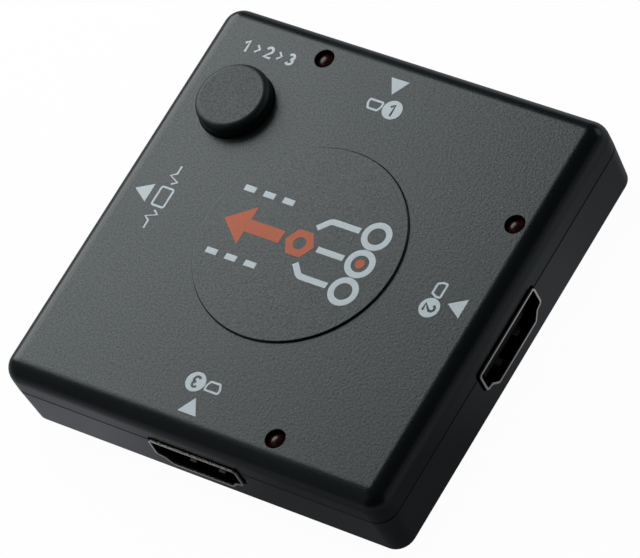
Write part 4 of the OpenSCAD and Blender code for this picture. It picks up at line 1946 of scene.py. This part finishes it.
    def diagram_orange(self) -> list[Mesh]:
        """Hub, bar and arrow head that lead to the output, and a dot in the chosen input.

        Returns:
            The films of ink.
        """
        hub = circle((0.0, 0.0), self.hub_r, self.hub_sides)
        head = [(self.head_x, 0.0), (self.bar[0], -self.head_half), (self.bar[0], self.head_half)]
        made = [self.filled([hub, circle((0.0, 0.0), self.hub_bore)]), self.filled([head])]
        made.append(self.line([(self.bar[0], 0.0), (self.bar[1], 0.0)], self.bar_w))
        made.append(self.filled([circle((self.ring_x, 0.0), self.dot_r)]))
        return made

    def dress(self, finishes: Finishes) -> None:
        """Prints every mark on the lid or on its panel.

        Args:
            finishes: Materials of the box.
        """
        top = self.case.top
        panel = top + self.case.panel_h
        lid_marks = self.input_marks() + self.output_marks() + self.order_marks()
        prints = (
            ("lid_print", lid_marks, top, finishes.white),
            ("panel_print_white", self.diagram_white(), panel, finishes.white),
            ("panel_print_orange", self.diagram_orange(), panel, finishes.orange),
        )
        for name, films, height, ink in prints:
            mesh = joined(name, films)
            mesh.transform(Matrix.Translation((0.0, 0.0, height * MM)))
            mesh.shade_flat()
            made = placed(name, mesh)
            painted(made, ink)
            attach(made, Body.CASE.value)
            LOG.info("%s: %d faces on %s", name, len(mesh.polygons), Body.CASE.value)


class Works:
    """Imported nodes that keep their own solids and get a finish."""

    @staticmethod
    def dress(finishes: Finishes) -> None:
        """Gives each node that still shows the finish of its record slot.

        Args:
            finishes: Materials of the box.
        """
        by_slot = {
            Slot.BOARD: finishes.board,
            Slot.NYLON: finishes.nylon,
            Slot.TIN: finishes.tin,
            Slot.GILT: finishes.gilt,
            Slot.CHIP: finishes.epoxy,
            Slot.CERAMIC: finishes.ceramic,
            Slot.CASE: finishes.tray,
            Slot.BUTTON: finishes.button,
            Slot.SCREW: finishes.zinc,
            Slot.NICKEL: finishes.nickel,
            Slot.LENS: finishes.lens,
        }
        for row in frame["record"]["subparts"]:
            node = frame["nodes"][row["node"]]
            painted(node, by_slot[Slot(row["material_slot"])])
            LOG.info("%s: %s", row["node"], row["material_slot"])


@dataclass(frozen=True)
class Softbox:
    """Lamp that faces the box. Level 1 is as bright as white paper, and an unmirrored one only fills."""

    name: str
    direction: Triple
    distance: float
    width: float
    height: float
    level: float
    mirrored: bool = True

    def build(self, aim: Vector) -> None:
        """Hangs the lamp at its distance from a point and turns it there.

        Args:
            aim: The point, in metres.
        """
        data = bpy.data.lights.new(self.name, "AREA")
        data.shape = "RECTANGLE"
        data.size = self.width
        data.size_y = self.height
        data.energy = self.level * math.pi * self.width * self.height
        lamp = placed(self.name, data)
        towards = Vector(self.direction).normalized()
        lamp.location = aim + towards * self.distance
        lamp.rotation_mode = "QUATERNION"
        lamp.rotation_quaternion = (-towards).to_track_quat("-Z", "Y")
        lamp.visible_camera = False
        lamp.visible_glossy = self.mirrored


@dataclass
class Studio:
    """Pale floor, soft lamps and the camera at the photograph's view."""

    azimuth: float = 57.484
    elevation: float = 51.681
    roll: float = 31.719
    distance: float = 726.81
    aim: Triple = (5.583, -3.777, 12.545)
    lens: float = 309.95
    sensor: float = 36.0
    clip: float = 10.0
    floor_half: float = 3.0
    floor_drop: float = 0.02
    paper: float = 0.975
    shade_turn: float = -50.0
    shade_from: Point = (0.3, 0.9)
    mirror_near: Point = (0.34, 0.08)
    glow_turn: float = 60.0
    glow_from: Point = (0.3, 0.9)
    mirror_far: Point = (0.2, 0.36)
    near_drop: float = 0.5
    drop_from: Point = (0.6, 0.95)
    under: float = 0.06
    under_to: Point = (30.0, 31.0)
    mirror_tint: Colour = (0.95, 0.99, 1.07, 1.0)
    far_from: Point = (38.0, 62.0)
    bounce: float = 0.25
    world: float = 0.025
    lamps: tuple[Softbox, ...] = (
        Softbox("key", (-0.795, 0.321, 0.515), distance=0.25, width=0.23, height=0.23, level=2.6),
        Softbox("edge", (0.404, 0.867, 0.292), distance=0.4, width=0.2, height=0.15, level=0.7),
        Softbox("room", (-0.58, -0.58, 0.57), distance=0.5, width=0.6, height=0.6, level=0.1),
        Softbox("card", (0.92, 0.335, 0.15), distance=0.4, width=0.4, height=0.2, level=0.16),
        Softbox("fill", (-0.3, 0.2, 0.93), distance=0.6, width=0.4, height=0.4, level=1.95, mirrored=False),
    )

    def mirrored(self, nodes: Nodes) -> Socket:
        """Brightness of the floor in reflections.

        Args:
            nodes: Nodes of the floor's material.

        Returns:
            Value that is even under the box, lower on its shaded side, and even again farther out.
        """
        place = nodes.place()
        away = nodes.add("ShaderNodeVectorMath", {0: place}, operation="NORMALIZE").outputs["Vector"]
        lies = []
        for turn in (math.radians(self.shade_turn), math.radians(self.glow_turn)):
            ways = {0: away, 1: (math.cos(turn), math.sin(turn), 0.0)}
            lies.append(nodes.add("ShaderNodeVectorMath", ways, operation="DOT_PRODUCT").outputs["Value"])
        shade = nodes.spread(lies[0], *self.shade_from, *self.mirror_near)
        near = nodes.math("MULTIPLY", shade, nodes.spread(lies[1], *self.drop_from, 1.0, self.near_drop))
        distant = nodes.spread(lies[1], *self.glow_from, *self.mirror_far)
        split = nodes.axes(place)
        out = nodes.math("MAXIMUM", nodes.math("ABSOLUTE", split["X"]), nodes.math("ABSOLUTE", split["Y"]))
        past = nodes.spread(out, *(distance * MM for distance in self.under_to))
        far = nodes.spread(out, *(distance * MM for distance in self.far_from))
        return nodes.mix(far, nodes.mix(past, self.under, near), distant)

    def floor(self) -> None:
        """Lays the floor: white to the eye, and in reflections darker on the shaded side of the box."""
        edge = self.floor_half
        drop = -self.floor_drop * MM
        mesh = bpy.data.meshes.new("floor")
        corners = [(-edge, -edge, drop), (edge, -edge, drop), (edge, edge, drop), (-edge, edge, drop)]
        mesh.from_pydata(corners, [], [(0, 1, 2, 3)])
        floor = placed("floor", mesh)
        material, nodes = bare_material("pale_floor")
        path = nodes.add("ShaderNodeLightPath").outputs
        mirrored = nodes.math("MAXIMUM", path["Is Glossy Ray"], path["Is Transmission Ray"])
        seen = nodes.math("MAXIMUM", path["Is Camera Ray"], mirrored)
        strength = nodes.mix(path["Is Camera Ray"], self.mirrored(nodes), self.paper)
        tint = nodes.blend(path["Is Camera Ray"], self.mirror_tint, WHITE)
        glow = nodes.add("ShaderNodeEmission", {"Color": tint, "Strength": strength})
        share = nodes.spread(path["Is Camera Ray"], 0.0, 1.0, 0.0, 1.0 - self.paper)
        sheet = nodes.add("ShaderNodeBsdfDiffuse", {"Color": share})
        bright = nodes.add("ShaderNodeAddShader", {0: glow.outputs[0], 1: sheet.outputs[0]})
        dim = nodes.add("ShaderNodeBsdfDiffuse", {"Color": rgb(self.bounce, self.bounce, self.bounce)})
        mixed = nodes.add("ShaderNodeMixShader", {0: seen, 1: dim.outputs[0], 2: bright.outputs[0]})
        clear = nodes.add("ShaderNodeBsdfTransparent")
        under = nodes.add("ShaderNodeNewGeometry").outputs["Backfacing"]
        whole = nodes.add("ShaderNodeMixShader", {0: under, 1: mixed.outputs[0], 2: clear.outputs[0]})
        nodes.add("ShaderNodeOutputMaterial", {"Surface": whole.outputs[0]})
        mesh.materials.append(material)

    def light(self) -> None:
        """Hangs the lamps and sets a dim, even world."""
        for lamp in self.lamps:
            lamp.build(Vector(self.aim) * MM)
        world = bpy.data.worlds.new("studio")
        world.use_nodes = True
        background = world.node_tree.nodes["Background"]
        background.inputs["Color"].default_value = WHITE
        background.inputs["Strength"].default_value = self.world
        bpy.context.scene.world = world

    def camera(self) -> None:
        """Sets the camera at the photograph's view."""
        a = math.radians(self.azimuth)
        e = math.radians(self.elevation)
        back = Vector((math.sin(a) * math.cos(e), -math.cos(a) * math.cos(e), math.sin(e)))
        data = bpy.data.cameras.new("photo_view")
        data.sensor_width = self.sensor
        data.lens = self.lens
        data.clip_end = self.clip
        camera = placed("photo_view", data)
        camera.location = (Vector(self.aim) + back * self.distance) * MM
        camera.rotation_mode = "QUATERNION"
        upright = (-back).to_track_quat("-Z", "Y")
        camera.rotation_quaternion = upright @ Quaternion((0.0, 0.0, 1.0), -math.radians(self.roll))
        bpy.context.scene.camera = camera

    def build(self) -> None:
        """Sets up camera, floor and lamps, and the plain view transform."""
        self.camera()
        self.floor()
        self.light()
        bpy.context.scene.view_settings.view_transform = "Standard"


def main() -> None:
    """Builds the studio, then every piece, and logs the faces of each piece."""
    logging.basicConfig(level=logging.INFO, format="%(name)s: %(message)s")
    Studio().build()
    finishes = Finishes()
    strips = strip_tree()
    case = CaseShape()
    socket = SocketShape()
    button = Button()
    lamps = Lamps()
    Works.dress(finishes)
    TopCover(case, socket, button, lamps).dress(finishes)
    BottomCover(case, socket).dress(finishes)
    button.dress(finishes)
    lamps.dress(finishes)
    SocketShells(socket, strips).dress(finishes)
    Screws(case, scatter_tree()).dress(finishes)
    Markings(case, strips, film_tree()).dress(finishes)


if __name__ == "__main__":
    main()
